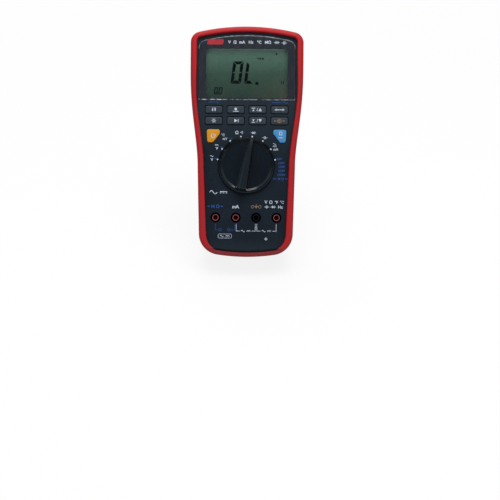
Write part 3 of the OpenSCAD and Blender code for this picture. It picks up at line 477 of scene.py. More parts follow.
class Recipe(Tree):
    """A material under construction: a node tree round one Principled shader."""

    def __init__(self, name: str) -> None:
        """Starts an empty recipe.

        Args:
            name: the material's name.
        """
        self.material = bpy.data.materials.new(name)
        self.material.use_nodes = True
        super().__init__(self.material.node_tree)
        self.output = self.node("ShaderNodeOutputMaterial")
        self.shader = self.node("ShaderNodeBsdfPrincipled")
        self.join(self.shader.outputs[0], self.output.inputs["Surface"])
        self.place = self.node("ShaderNodeTexCoord").outputs["Object"]

    def feed(self, name: str, value: Socket) -> None:
        """Links a value to one of the shader's inputs."""
        self.join(value, self.shader.inputs[name])

    def fix(self, **values: float) -> None:
        """Sets the shader's own sockets by name, with _ for a space."""
        for key, value in values.items():
            self.shader.inputs[key.replace("_", " ")].default_value = value

    def noise(self, size_mm: float, detail: float = 2.0, place: Socket | None = None) -> Socket:
        """Noise whose patches are about size_mm across, as a factor."""
        scale = 1.0 / (size_mm * MM)
        made = self.node("ShaderNodeTexNoise", Vector=place or self.place, Scale=scale, Detail=detail)
        return made.outputs[0]

    def vary(self, size_mm: float, low: float, high: float, detail: float = 2.0) -> Socket:
        """Noise whose usual range runs from low to high."""
        return self.span(self.noise(size_mm, detail), *NOISE_RANGE, low, high)

    def stretch(self, factors: Sequence[float]) -> Socket:
        """Object coordinates turned onto the meter's axes and scaled by a factor on each, for streaks."""
        level = self.node("ShaderNodeMapping", Vector=self.place, Rotation=(-STANCE.lean, 0.0, 0.0))
        return self.node("ShaderNodeMapping", Vector=level.outputs[0], Scale=tuple(factors)).outputs[0]

    def reach(self, direction: np.ndarray) -> Socket:
        """Place on one of the meter's axes in mm: (object point · axis − origin · axis) / mm."""
        made = self.node("ShaderNodeVectorMath", Vector=self.place)
        made.operation = "DOT_PRODUCT"
        made.inputs[1].default_value = tuple(direction / MM)
        return self.maths("SUBTRACT", made.outputs["Value"], float(STANCE.origin @ direction))

    def far(self, a: Socket, b: Socket, root: bool = True) -> Socket:
        """Distance by two lengths at right angles, (a² + b²) to the half, or its square."""
        square = self.maths("ADD", self.maths("MULTIPLY", a, a), self.maths("MULTIPLY", b, b))
        return self.maths("POWER", square, 0.5) if root else square

    def blend(self, factor: object, a: object, b: object, mode: str = "MIX") -> Socket:
        """Mixes two colours, each a socket or a screen colour."""
        made = self.tree.nodes.new("ShaderNodeMix")
        made.data_type = "RGBA"
        made.blend_type = mode
        self.put(made.inputs[0], factor)
        for socket, value in ((made.inputs[6], a), (made.inputs[7], b)):
            self.put(socket, value if isinstance(value, Socket) else linear(value))
        return made.outputs[2]

    def shade(self, base: Socket, factor: Socket) -> Socket:
        """A colour times the same factor on red, green and blue."""
        grey = self.node("ShaderNodeCombineColor", Red=factor, Green=factor, Blue=factor)
        return self.blend(1.0, base, grey.outputs[0], "MULTIPLY")

    def relief(self, height: Socket, depth_mm: float) -> None:
        """Puts a height on the shader's normal, depth_mm deep."""
        made = self.node("ShaderNodeBump", Height=height, Strength=1.0, Distance=depth_mm * MM)
        self.feed("Normal", made.outputs[0])


class Measure(Enum):
    """What a limit measures on the meter, in mm where it is a length."""

    ACROSS = "place across the face"
    UP = "place up the face"
    OUT = "place out of the face"
    ASIDE = "distance from the face's centre line"
    RING = "distance from a point on the centre line"
    GRIP = "distance across the knob's bar"
    JACK = "squared distance from the nearest jack's axis"
    NOISE = "factor of a noise"


@dataclass(frozen=True)
class Limit:
    """A share that runs from low to high while a measure goes from start to stop."""

    measure: Measure
    start: float
    stop: float
    low: float = 0.0
    high: float = 1.0
    centre: float = 0.0
    size_mm: float = 1.0
    detail: float = 2.0

    def value(self, recipe: Recipe) -> Socket:
        """The measure as a value of a recipe.

        The nearest jack's axis lies aside by half a pitch less the place across folded
        into half a pitch. Across the bar, a = x·cos t + (y − knob's y)·sin t, with t the
        angle at rest.
        """
        if self.measure is Measure.NOISE:
            return recipe.noise(self.size_mm, self.detail)
        if self.measure is Measure.RING:
            above = recipe.maths("SUBTRACT", recipe.reach(STANCE.up), self.centre)
            return recipe.far(recipe.reach(ACROSS), above)
        if self.measure is Measure.ASIDE:
            return recipe.maths("ABSOLUTE", recipe.reach(ACROSS))
        if self.measure is Measure.JACK:
            half = JACK_PITCH / 2
            folded = recipe.maths("PINGPONG", recipe.reach(ACROSS), half)
            above = recipe.maths("SUBTRACT", recipe.reach(STANCE.up), JACK_Y)
            return recipe.far(recipe.maths("SUBTRACT", half, folded), above, root=False)
        if self.measure is Measure.GRIP:
            turned = math.radians(KNOB_TURN)
            over = math.cos(turned) * ACROSS + math.sin(turned) * STANCE.up
            return recipe.maths("SUBTRACT", recipe.reach(over), KNOB_Y * math.sin(turned))
        axes = {Measure.ACROSS: ACROSS, Measure.UP: STANCE.up, Measure.OUT: STANCE.out}
        return recipe.reach(axes[self.measure])

    def share(self, recipe: Recipe) -> Socket:
        """The share as a value of a recipe."""
        return recipe.span(self.value(recipe), self.start, self.stop, self.low, self.high)


across = partial(Limit, Measure.ACROSS)
up = partial(Limit, Measure.UP)
outward = partial(Limit, Measure.OUT)
aside = partial(Limit, Measure.ASIDE)
grip = partial(Limit, Measure.GRIP)
jack = partial(Limit, Measure.JACK)
cloud = partial(Limit, Measure.NOISE)
foot_ring = partial(Limit, Measure.RING, centre=FOOT_ARCH_R)
knob_ring = partial(Limit, Measure.RING, centre=KNOB_Y)


@dataclass(frozen=True)
class Band:
    """A tone that takes over by the product of the shares of up to three limits."""

    tone: Tone
    first: Limit
    second: Limit | None = None
    third: Limit | None = None

    def lay(self, recipe: Recipe, base: Socket | Tone) -> Socket:
        """The base colour with the tone laid over it."""
        share = self.first.share(recipe)
        for limit in (self.second, self.third):
            if limit:
                share = recipe.maths("MULTIPLY", share, limit.share(recipe))
        return recipe.blend(share, base, self.tone)


@dataclass(frozen=True)
class Finish:
    """A material: a ground colour, bands of other tones over it, and a skin."""

    name: str
    colour: Tone
    bands: tuple[Band, ...] = field(default=(), kw_only=True)

    def build(self) -> Material:
        """Makes the material."""
        recipe = Recipe(self.name)
        recipe.feed("Base Color", self.tone(recipe))
        self.skin(recipe)
        return recipe.material

    def tone(self, recipe: Recipe) -> Socket:
        """Colour: the ground with each band laid over it in turn."""
        base = self.ground(recipe)
        for band in self.bands:
            base = band.lay(recipe, base)
        return base

    def ground(self, recipe: Recipe) -> Socket | Tone:
        """The colour under the bands."""
        return self.colour

    def skin(self, recipe: Recipe) -> None:
        """Gives the shader its roughness, its relief and its fixed values."""


@dataclass(frozen=True)
class MouldedFinish(Finish):
    """Moulded plastic, rubber or lacquer.

    Two near tones lie in soft patches, a fine grain speckles and roughens the skin, and
    long faint scuffs shine a little more.
    """

    second: Tone
    roughness: float = 0.5
    spread: float = 0.08
    patch_mm: float = 28.0
    patch_range: Span = (0.35, 0.65)
    grain_mm: float = 0.5
    grain_deep_mm: float = 0.012
    speckle: float = 0.05
    speckle_per_grain: float = 2.4
    specular: float = 0.45
    coat: float = 0.0
    coat_roughness: float = 0.12
    scuff_mm: float = 9.0
    scuff_range: Span = (0.42, 0.66)
    scuff_stretch: tuple[float, float, float] = (2.2, 0.7, 2.2)

    def ground(self, recipe: Recipe) -> Socket:
        """The two tones mixed by soft patches, times 1 ± speckle by the grain."""
        patches = cloud(*self.patch_range, size_mm=self.patch_mm, detail=3.0).share(recipe)
        base = recipe.blend(patches, self.colour, self.second)
        size = self.grain_mm * self.speckle_per_grain
        return recipe.shade(base, recipe.vary(size, 1 - self.speckle, 1 + self.speckle))

    def skin(self, recipe: Recipe) -> None:
        """Roughness from patches and scuffs, and relief from the grain."""
        scuffs = recipe.noise(self.scuff_mm, 5.0, recipe.stretch(self.scuff_stretch))
        shine = recipe.span(scuffs, *self.scuff_range, 1.0, -1.0)
        recipe.feed("Roughness", recipe.maths("MULTIPLY_ADD", shine, self.spread, self.roughness))
        recipe.relief(recipe.noise(self.grain_mm), self.grain_deep_mm)
        recipe.fix(
            Specular_IOR_Level=self.specular, Coat_Weight=self.coat, Coat_Roughness=self.coat_roughness
        )


@dataclass(frozen=True)
class KnobFinish(MouldedFinish):
    """The knob's plastic, with a polished coat on the lower half of its lip."""

    polish: tuple[Limit, ...] = (
        knob_ring(KNOB_LIP_R - KNOB_LIP_W - 0.2, KNOB_LIP_R - KNOB_LIP_W + 0.5),
        knob_ring(KNOB_LIP_R - 0.5, KNOB_LIP_R + 0.1, 1.0, 0.0),
        up(KNOB_Y - 9.0, KNOB_Y, 1.0, 0.0),
    )

    def skin(self, recipe: Recipe) -> None:
        """The moulded skin, and a coat by the lowest share of the polish."""
        super().skin(recipe)
        rising, falling, lower = (limit.share(recipe) for limit in self.polish)
        lip = recipe.maths("MINIMUM", recipe.maths("MINIMUM", rising, falling), lower)
        recipe.feed("Coat Weight", lip)


@dataclass(frozen=True)
class MetalFinish(Finish):
    """Plated, sprung or drawn metal with fine streaks and a faint tarnish."""

    tarnish: Tone
    roughness: float = 0.3
    stain: Limit = cloud(0.45, 0.7, 0.0, 0.7, size_mm=6.0, detail=4.0)
    streak: tuple[float, float, float] = (1.0, 14.0, 14.0)
    streak_mm: float = 2.0
    streak_deep_mm: float = 0.006
    streak_shades: Span = (0.86, 1.06)
    gloss: Span = (-0.08, 0.14)

    def streaks(self, recipe: Recipe) -> Socket:
        """The streaks as a factor."""
        return recipe.noise(self.streak_mm, 4.0, recipe.stretch(self.streak))

    def ground(self, recipe: Recipe) -> Socket:
        """The metal with stains of tarnish, a little lighter and darker along its streaks."""
        base = recipe.blend(self.stain.share(recipe), self.colour, self.tarnish)
        return recipe.shade(base, recipe.span(self.streaks(recipe), *NOISE_RANGE, *self.streak_shades))

    def skin(self, recipe: Recipe) -> None:
        """Roughness and relief from the streaks."""
        streaks = self.streaks(recipe)
        ends = (self.roughness + change for change in self.gloss)
        recipe.feed("Roughness", recipe.span(streaks, *NOISE_RANGE, *ends))
        recipe.relief(streaks, self.streak_deep_mm)
        recipe.fix(Metallic=1.0)


@dataclass(frozen=True)
class DisplayFinish(Finish):
    """Liquid crystal glass with a fine cell grid."""

    cell_mm: float = 0.5
    cell_deep_mm: float = 0.002
    cell_shades: Span = (0.96, 1.04)
    gloss_mm: float = 30.0
    gloss: Span = (0.22, 0.34)
    specular: float = 0.3

    def tone(self, recipe: Recipe) -> Socket:
        """Colour: ground and bands, times the cell grid."""
        return recipe.shade(super().tone(recipe), recipe.vary(self.cell_mm, *self.cell_shades, 1.0))

    def skin(self, recipe: Recipe) -> None:
        """Soft gloss, and relief from the cells."""
        recipe.feed("Roughness", recipe.vary(self.gloss_mm, *self.gloss))
        recipe.relief(recipe.noise(self.cell_mm, 1.0), self.cell_deep_mm)
        recipe.fix(Specular_IOR_Level=self.specular)


@dataclass(frozen=True)
class EdgeFinish(Finish):
    """The window's bevel, painted with the glints that the clear sheet shows."""

    gloss: Limit = cloud(*GLINT_RANGE, 0.3, 0.12, size_mm=GLINT_MM, detail=3.0)
    specular: float = 0.6

    def skin(self, recipe: Recipe) -> None:
        """Gloss where the glints are."""
        recipe.feed("Roughness", self.gloss.share(recipe))
        recipe.fix(Specular_IOR_Level=self.specular)


@dataclass(frozen=True)
class PatternFinish(Finish):
    """Two tones mixed by a pattern, which also shapes the skin."""

    second: Tone

    def pattern(self, recipe: Recipe) -> Socket:
        """The second tone's share."""
        raise NotImplementedError

    def ground(self, recipe: Recipe) -> Socket:
        """The two tones mixed by the pattern."""
        return recipe.blend(self.pattern(recipe), self.colour, self.second)


@dataclass(frozen=True)
class PaneFinish(PatternFinish):
    """Clear polycarbonate: a thin dark veil, high gloss and faint wiping marks."""

    veil: float = 0.02
    smear_mm: float = 12.0
    smear_deep_mm: float = 0.001
    smear_range: Span = (0.4, 0.7)
    smear_stretch: tuple[float, float, float] = (1.0, 4.0, 1.0)
    gloss: Span = (0.04, 0.16)
    specular: float = 0.4

    def smear(self, recipe: Recipe) -> Socket:
        """The wiping marks as a factor."""
        return recipe.noise(self.smear_mm, 5.0, recipe.stretch(self.smear_stretch))

    def pattern(self, recipe: Recipe) -> Socket:
        """The marks' share."""
        return recipe.span(self.smear(recipe), *self.smear_range, 0.0, 1.0)

    def skin(self, recipe: Recipe) -> None:
        """The marks in roughness and relief."""
        smear = self.smear(recipe)
        recipe.feed("Roughness", recipe.span(smear, *self.smear_range, *self.gloss))
        recipe.relief(smear, self.smear_deep_mm)
        recipe.fix(Alpha=self.veil, Specular_IOR_Level=self.specular)


@dataclass(frozen=True)
class BoardFinish(PatternFinish):
    """Solder mask over copper: bright traces on a grid under a green varnish."""

    grid: float = 420.0
    mortar: float = 0.03
    broken: Limit = cloud(0.45, 0.5, size_mm=7.0, detail=3.0)
    trace_mm: float = 0.03
    gloss_mm: float = 4.0
    gloss: Span = (0.2, 0.42)

    def pattern(self, recipe: Recipe) -> Socket:
        """Cells of a brick pattern are traces, and noise breaks them up."""
        brick = recipe.node(
            "ShaderNodeTexBrick", Vector=recipe.place, Scale=self.grid, Mortar_Size=self.mortar, Bias=0.0
        )
        return recipe.maths("MULTIPLY", brick.outputs["Fac"], self.broken.share(recipe))

    def skin(self, recipe: Recipe) -> None:
        """Varnish of uneven gloss over raised traces."""
        recipe.feed("Roughness", recipe.vary(self.gloss_mm, *self.gloss))
        recipe.relief(self.pattern(recipe), self.trace_mm)


@dataclass(frozen=True)
class WoundFinish(PatternFinish):
    """Enamelled wire under tape: fine turns across the winding."""

    turn_mm: float = 0.5
    turn_scale: float = 0.3
    turn_deep_mm: float = 0.05
    waver: float = 0.4
    gloss: Span = (0.6, 0.35)

    def pattern(self, recipe: Recipe) -> Socket:
        """Bands across the part, one for each turn."""
        scale = self.turn_scale / (self.turn_mm * MM)
        wave = recipe.node("ShaderNodeTexWave", Vector=recipe.place, Scale=scale, Distortion=self.waver)
        wave.bands_direction = "Z"
        return wave.outputs["Fac"]

    def skin(self, recipe: Recipe) -> None:
        """The turns in roughness and relief."""
        turns = self.pattern(recipe)
        recipe.feed("Roughness", recipe.span(turns, 0.0, 1.0, *self.gloss))
        recipe.relief(turns, self.turn_deep_mm)


@dataclass(frozen=True)
class FloorFinish(Finish):
    """The pale floor: paper white, lifted for what the camera and mirrors see of it.

    Away from the meter the lift is whole, so the floor meets the white surround unseen.
    """

    name: str = "pale_floor"
    colour: Tone = (236, 236, 236)
    bounce: Tone = (170, 170, 170)
    fibre_mm: float = 1.5
    fibre_shades: Span = (0.98, 1.0)
    roughness: float = 0.9
    specular: float = 0.1
    lift: float = 0.86
    near_m: float = 0.4
    far_m: float = 1.3

    def ground(self, recipe: Recipe) -> Socket:
        """Paper with fine fibres, darker for the light it sends to the meter."""
        diffuse = recipe.node("ShaderNodeLightPath").outputs["Is Diffuse Ray"]
        paper = recipe.blend(diffuse, self.colour, self.bounce)
        return recipe.shade(paper, recipe.vary(self.fibre_mm, *self.fibre_shades, 4.0))

    def skin(self, recipe: Recipe) -> None:
        """Diffuse paper, mixed with even white on camera, glossy and clear rays."""
        recipe.fix(Roughness=self.roughness, Specular_IOR_Level=self.specular)
        ray = recipe.node("ShaderNodeLightPath")
        seen = recipe.maths("MAXIMUM", ray.outputs["Is Camera Ray"], ray.outputs["Is Glossy Ray"])
        seen = recipe.maths("MAXIMUM", seen, ray.outputs["Is Transmission Ray"])
        white = recipe.node("ShaderNodeEmission", Color=WHITE, Strength=1.0)
        away = recipe.node("ShaderNodeVectorMath", Vector=recipe.place)
        away.operation = "LENGTH"
        lift = recipe.span(away.outputs["Value"], self.near_m, self.far_m, self.lift, 1.0)
        mix = recipe.node("ShaderNodeMixShader")
        recipe.join(recipe.maths("MULTIPLY", seen, lift), mix.inputs[0])
        recipe.join(recipe.shader.outputs[0], mix.inputs[1])
        recipe.join(white.outputs[0], mix.inputs[2])
        recipe.join(mix.outputs[0], recipe.output.inputs["Surface"])


class Ink(Enum):
    """The colours of the printed marks, as screen colours."""

    WHITE = (206, 218, 234)
    BLUE = (36, 80, 148)
    ORANGE = (158, 130, 98)
    RED = (178, 34, 48)
    SEGMENT = (0, 5, 6)
    FAINT_SEGMENT = (6, 18, 16)

    def finish(self) -> Material:
        """The ink's material, made once: a thin matt film with pinholes and uneven cover."""
        name = f"ink_{self.name.lower()}"
        known = bpy.data.materials.get(name)
        if known:
            return known
        darker = tuple(int(c * INK_SHADE) for c in self.value)
        gloss = SEGMENT_GLOSS if self in (Ink.SEGMENT, Ink.FAINT_SEGMENT) else INK_GLOSS
        return MouldedFinish(
            name, self.value, darker, roughness=0.45, patch_mm=3.0, grain_mm=0.15, grain_deep_mm=0.003,
            specular=gloss,
        ).build()


def jack_bands(well_shade: Tone, socket: Tone, shaded: Tone) -> tuple[Band, ...]:
    """A jack's tones: painted shade outside its ring, and from 1 mm under the panel painted shade in the well
    or the socket's tone.
    """
    sunk = outward(-0.6, -1.3)
    limits = JACK_RING_R**2, JACK_RING_R**2 + 0.001
    return (
        Band(shaded, jack(2.7**2, 3.0**2)),
        Band(well_shade, jack(*limits), sunk),
        Band(socket, jack(*limits[::-1]), sunk),
    )


def contact(name: str, deep_shade: Tone) -> MetalFinish:
    """Plated brass, with painted shade over it from the socket's blind end to its front."""
    sunk = Band(deep_shade, outward(SOCKET_END - 1.0, SOCKET_END))
    return MetalFinish(name, (232, 204, 140), (196, 160, 96), 0.28, bands=(sunk,))


# Painted light and shade on the boot: darker from 200 mm up the face down to 170 mm and below it, a duller,
# darker red of painted shade over the lower rim, and a line of painted shadow along the lower rim's inner
# edge.
BOOT_BANDS = (
    Band((166, 30, 35), up(200.0, 170.0)),
    Band((146, 46, 52), aside(42.0, 28.0), foot_ring(PANEL_FOOT_R - 4.0, PANEL_FOOT_R)),
    Band(
        (30, 10, 13), aside(34.0, 28.0), foot_ring(PANEL_FOOT_R - 1.0, PANEL_FOOT_R - 0.5),
        foot_ring(PANEL_FOOT_R, PANEL_FOOT_R + 1.6, 1.0, 0.0),
    ),
)
# Painted light and shade on the panel: lighter towards its top and towards its foot, a painted shadow below
# the knob, a line of painted shade along its foot by the boot's rim, and painted shade on the walls under the
# panel face.
PANEL_BANDS = (
    Band((31, 42, 52), up(92.0, 132.0)),
    Band((28, 38, 48), up(18.0, 8.0)),
    Band(PAINTED_SHADE, Limit(Measure.RING, 25.4, 27.0, 0.8, 0.0, centre=KNOB_Y - 1.9)),
    Band(PAINTED_SHADE, foot_ring(PANEL_FOOT_R - 1.8, PANEL_FOOT_R - 0.72)),
    Band(PAINTED_SHADE, outward(-0.2, -0.9)),
)
# Painted light and shade on the knob: the slope and skirt outside the lip dark, painted lighter on their
# lower half; a painted shadow on the lip's inner slope at the top; the grip bar painted lighter from 4.6 mm
# up, and its left flank lighter still. The last band is a lighter grey at the pointer's tip, broken by noise.
KNOB_BANDS = (
    Band((8, 14, 20), knob_ring(KNOB_LIP_R, KNOB_LIP_R + 0.6)),
    Band((34, 48, 60), knob_ring(KNOB_LIP_R, KNOB_LIP_R + 0.6), up(KNOB_Y + 8.0, KNOB_Y - 12.0)),
    Band(
        (1, 4, 7), knob_ring(KNOB_LIP_R - KNOB_LIP_W - 0.6, KNOB_LIP_R - KNOB_LIP_W + 0.8),
        knob_ring(KNOB_LIP_R, KNOB_LIP_R + 0.6, 1.0, 0.0), up(KNOB_Y + 8.0, KNOB_Y + 17.0),
    ),
    Band((24, 32, 38), outward(4.6, 6.2)),
    Band((36, 45, 51), grip(-0.8, -2.2), outward(4.3, 5.2)),
    Band(
        (50, 55, 59), up(100.0, 110.5), outward(4.4, 9.0),
        cloud(0.3, 0.6, 0.55, 1.0, size_mm=3.0, detail=4.0),
    ),
)
# Painted light on the display: lighter towards its top and lightest in its top 4 mm. The last band lays a
# brownish tone, broken by noise, over its lower right.
DISPLAY_BANDS = (
    Band((49, 76, 64), up(148.0, 171.35)),
    Band((80, 113, 99), up(171.35, 194.7)),
    Band((116, 146, 138), up(190.7, 194.7)),
    Band(
        (88, 88, 70), across(0.0, 40.0), up(171.35, 148.0),
        cloud(*NOISE_RANGE, 0.3, 0.9, size_mm=16.0, detail=3.0),
    ),
)
# Painted glints on the window's bevel: darker on the sides, a bright line along the foot, brightest on its
# left part, and broken by noise into dashes.
EDGE_BANDS = (
    Band((52, 58, 66), up(196.0, 190.0)),
    Band((132, 144, 154), up(147.9, 147.2)),
    Band((220, 232, 240), up(147.9, 147.2), across(-8.0, -14.0)),
    Band((30, 37, 47), cloud(*GLINT_RANGE, 1.0, 0.0, size_mm=GLINT_MM, detail=3.0)),
)


def finishes() -> dict[Slot, Material]:
    """Builds the finish of every slot of the record."""
    made = {
        Slot.BOOT: MouldedFinish(
            "boot_elastomer", (182, 32, 38), (172, 28, 34), spread=0.03, grain_mm=0.7,
            grain_deep_mm=0.01, speckle=0.03, patch_mm=45.0, specular=0.2, bands=BOOT_BANDS,
        ),
        Slot.PANEL: MouldedFinish(
            "panel_grain", (20, 31, 42), (16, 26, 36), roughness=0.65, grain_mm=0.6,
            grain_deep_mm=0.03, speckle=0.16, specular=0.12, bands=PANEL_BANDS,
        ),
        Slot.REAR: MouldedFinish(
            "rear_grain", (38, 43, 49), (35, 40, 46), roughness=0.6, spread=0.03, grain_mm=0.7,
            grain_deep_mm=0.04, speckle=0.1,
        ),
        Slot.WINDOW: MouldedFinish(
            "window_border", (20, 29, 41), (17, 25, 36), roughness=0.2, spread=0.05, grain_mm=0.8,
            grain_deep_mm=0.001, speckle=0.04, specular=0.5, coat=0.2,
        ),
        Slot.FRAME: MouldedFinish("frame_white", (226, 226, 222), (214, 214, 210)),
        Slot.DISPLAY: DisplayFinish("display_glass", (36, 56, 50), bands=DISPLAY_BANDS),
        Slot.LIGHT: MouldedFinish("light_guide", (232, 236, 238), (220, 226, 230), roughness=0.2),
        Slot.CONNECTOR: MouldedFinish("striped_elastomer", (150, 150, 155), (60, 60, 66), patch_mm=0.6),
        Slot.BOARD: BoardFinish("solder_mask", (18, 92, 48), (44, 134, 74)),
        Slot.MAT: MouldedFinish("mat_silicone", (190, 194, 200), (176, 180, 188), roughness=0.65),
        # The keys' sides are painted shade from 0.7 mm over the panel downwards.
        Slot.KEY: MouldedFinish(
            "key_silicone", (40, 52, 61), (37, 49, 58), grain_deep_mm=0.015, speckle=0.06,
            specular=0.3, bands=(Band((8, 11, 14), outward(0.7, 0.1)),),
        ),
        Slot.YELLOW: MouldedFinish(
            "key_yellow", (214, 150, 26), (204, 140, 22), roughness=0.42, speckle=0.04, specular=0.3
        ),
        Slot.BLUE: MouldedFinish(
            "key_blue", (66, 136, 190), (58, 126, 180), roughness=0.42, speckle=0.04, specular=0.3
        ),
        Slot.KNOB: KnobFinish(
            "knob_satin", (15, 25, 33), (12, 21, 29), roughness=0.24, spread=0.04,
            grain_deep_mm=0.003, speckle=0.06, specular=0.12, bands=KNOB_BANDS,
        ),
        Slot.ROTOR: MouldedFinish("natural_nylon", (226, 220, 200), (214, 206, 184)),
        # The brass contact wears a dark red painted shade inside its socket.
        Slot.BRASS: contact("contact_brass", (104, 22, 26)),
        Slot.SCREW: MetalFinish("screw_zinc", (190, 190, 194), (160, 160, 166), 0.34),
        Slot.SPRING: MetalFinish("spring_steel", (196, 198, 202), (150, 152, 160), 0.26),
        # Jack tones, in order: painted shade in the well, the socket's tone, painted shade outside the lit
        # ring.
        Slot.RED_JACK: MouldedFinish(
            "jack_red", (162, 86, 95), (150, 78, 87), roughness=0.45, specular=0.2,
            bands=jack_bands((14, 7, 9), (150, 30, 38), (34, 9, 12)),
        ),
        Slot.BLACK_JACK: MouldedFinish(
            "jack_black", (12, 20, 27), (9, 16, 22), roughness=0.45, specular=0.2,
            bands=jack_bands((3, 6, 9), (4, 8, 12), (6, 11, 16)),
        ),
        Slot.FUSE: MouldedFinish("fuse_ceramic", (232, 226, 208), (220, 212, 192), roughness=0.3),
        Slot.FERRITE: MouldedFinish("ferrite", (62, 62, 66), (50, 50, 54), roughness=0.7, grain_mm=0.3),
        Slot.WINDING: WoundFinish("winding_tape", (160, 140, 56), (204, 188, 96)),
        Slot.CAPACITOR: MouldedFinish("dipped_red", (196, 92, 60), (180, 78, 48), roughness=0.25, coat=0.4),
        Slot.RELAY: MouldedFinish("relay_white", (226, 226, 222), (212, 212, 208)),
        Slot.CHIP: MouldedFinish("chip_epoxy", (38, 38, 40), (30, 30, 32), grain_mm=0.2),
        Slot.SURGE: MouldedFinish("dipped_blue", (48, 88, 170), (40, 76, 152), roughness=0.22, coat=0.5),
        Slot.PLATE: MetalFinish("plated_strip", (206, 206, 204), (176, 172, 160), 0.24),
        Slot.STAND: MouldedFinish(
            "stand_grain", (38, 43, 49), (34, 39, 45), roughness=0.55, spread=0.03, grain_mm=0.7,
            grain_deep_mm=0.035, speckle=0.1,
        ),
        Slot.CELL: MouldedFinish("cell_sleeve", (120, 126, 134), (96, 102, 112), roughness=0.3, coat=0.3),
    }
    return {slot: finish.build() for slot, finish in made.items()}


# Boot


@dataclass(frozen=True)
class BodyOutline:
    """The meter's outline seen from the front, with the widths of the boot's rim along it."""

    body_len: float = BODY_LEN
    head_w: float = 105.4
    waist_w: float = 91.0
    foot_taper: float = 3.2
    head_start: float = 84.0
    head_full: float = 180.0
    top_arch_r: float = 200.0
    bottom_arch_r: float = FOOT_ARCH_R
    top_corner_r: float = 10.0
    bottom_corner_r: float = 20.0
    snap: float = 2.8
    rim_low: float = 7.2
    rim_neck: float = 4.9
    neck_y: float = 147.0
    rim_head: float = 6.0
    rim_top: float = 5.1
    rim_foot: float = FOOT_ARCH_R - PANEL_FOOT_R

    def side(self, y: np.ndarray, low_y: float) -> np.ndarray:
        """Half width at a height: straight from foot to waist, then easing out to the head.

        The ease is 1 − (1 − t)^snap · (1 + snap·t), with t from the waist to the full head.
        """
        foot, waist, head = (self.waist_w - self.foot_taper) / 2, self.waist_w / 2, self.head_w / 2
        t = clamp((y - self.head_start) / (self.head_full - self.head_start))
        eased = 1 - (1 - t) ** self.snap * (1 + self.snap * t)
        straight = clamp((y - low_y) / (self.head_start - low_y))
        return foot + (waist - foot) * straight + (head - waist) * eased

    def line(self, arch: int = 40, corner: int = 20, sides: int = 140) -> tuple[np.ndarray, np.ndarray]:
        """The whole outline, counter-clockwise from the bottom middle.

        Args:
            arch: points on half of the top or bottom arch.
            corner: points on each corner.
            sides: points on each side.

        Returns:
            Points and outward normals, each n by 2.
        """
        foot, head = (self.waist_w - self.foot_taper) / 2, self.head_w / 2
        low_rise = math.sqrt(
            (self.bottom_arch_r - self.bottom_corner_r) ** 2 - (foot - self.bottom_corner_r) ** 2
        )
        low_y = self.bottom_arch_r - low_rise
        low_turn = math.degrees(math.atan2(low_rise, foot - self.bottom_corner_r))
        high_rise = math.sqrt((self.top_arch_r - self.top_corner_r) ** 2 - (head - self.top_corner_r) ** 2)
        high_y = self.body_len - self.top_arch_r + high_rise
        high_turn = math.degrees(math.atan2(high_rise, head - self.top_corner_r))
        y = np.linspace(low_y, high_y, sides + 1)[1:-1]
        near = 0.2
        slope = (self.side(y + near, low_y) - self.side(y - near, low_y)) / (2 * near)
        long = np.sqrt(1 + slope**2)
        parts = [
            self.turn((0, self.bottom_arch_r), self.bottom_arch_r, -90, -low_turn, arch, False),
            self.turn((foot - self.bottom_corner_r, low_y), self.bottom_corner_r, -low_turn, 0, corner, True),
            (np.stack([self.side(y, low_y), y], 1), np.stack([1 / long, -slope / long], 1)),
            self.turn((head - self.top_corner_r, high_y), self.top_corner_r, 0, high_turn, corner, False),
            self.turn((0, self.body_len - self.top_arch_r), self.top_arch_r, high_turn, 90, arch, True),
        ]
        right = (np.vstack(rows) for rows in zip(*parts))
        points, normals = (np.vstack([half, (half * [-1.0, 1.0])[-2:0:-1]]) for half in right)
        return points, normals

    @staticmethod
    def turn(
        centre: Sequence[float], r: float, start: float, stop: float, steps: int, whole: bool
    ) -> tuple[np.ndarray, np.ndarray]:
        """Points and normals of an arc, with its last point if whole."""
        a = np.radians(np.linspace(start, stop, steps + 1)[: steps + 1 if whole else steps])
        n = spoke(a)
        return np.asarray(centre, float) + r * n, n

    def rim(self, points: np.ndarray, normals: np.ndarray) -> np.ndarray:
        """Width of the front rim: the sides' width times nx² plus the ends' width times ny²."""
        heights, widths = (0, self.neck_y, self.head_full), (self.rim_low, self.rim_neck, self.rim_head)
        along = np.interp(points[:, 1], heights, widths)
        ends = np.where(points[:, 1] < self.head_start, self.rim_foot, self.rim_top)
        return along * normals[:, 0] ** 2 + ends * normals[:, 1] ** 2


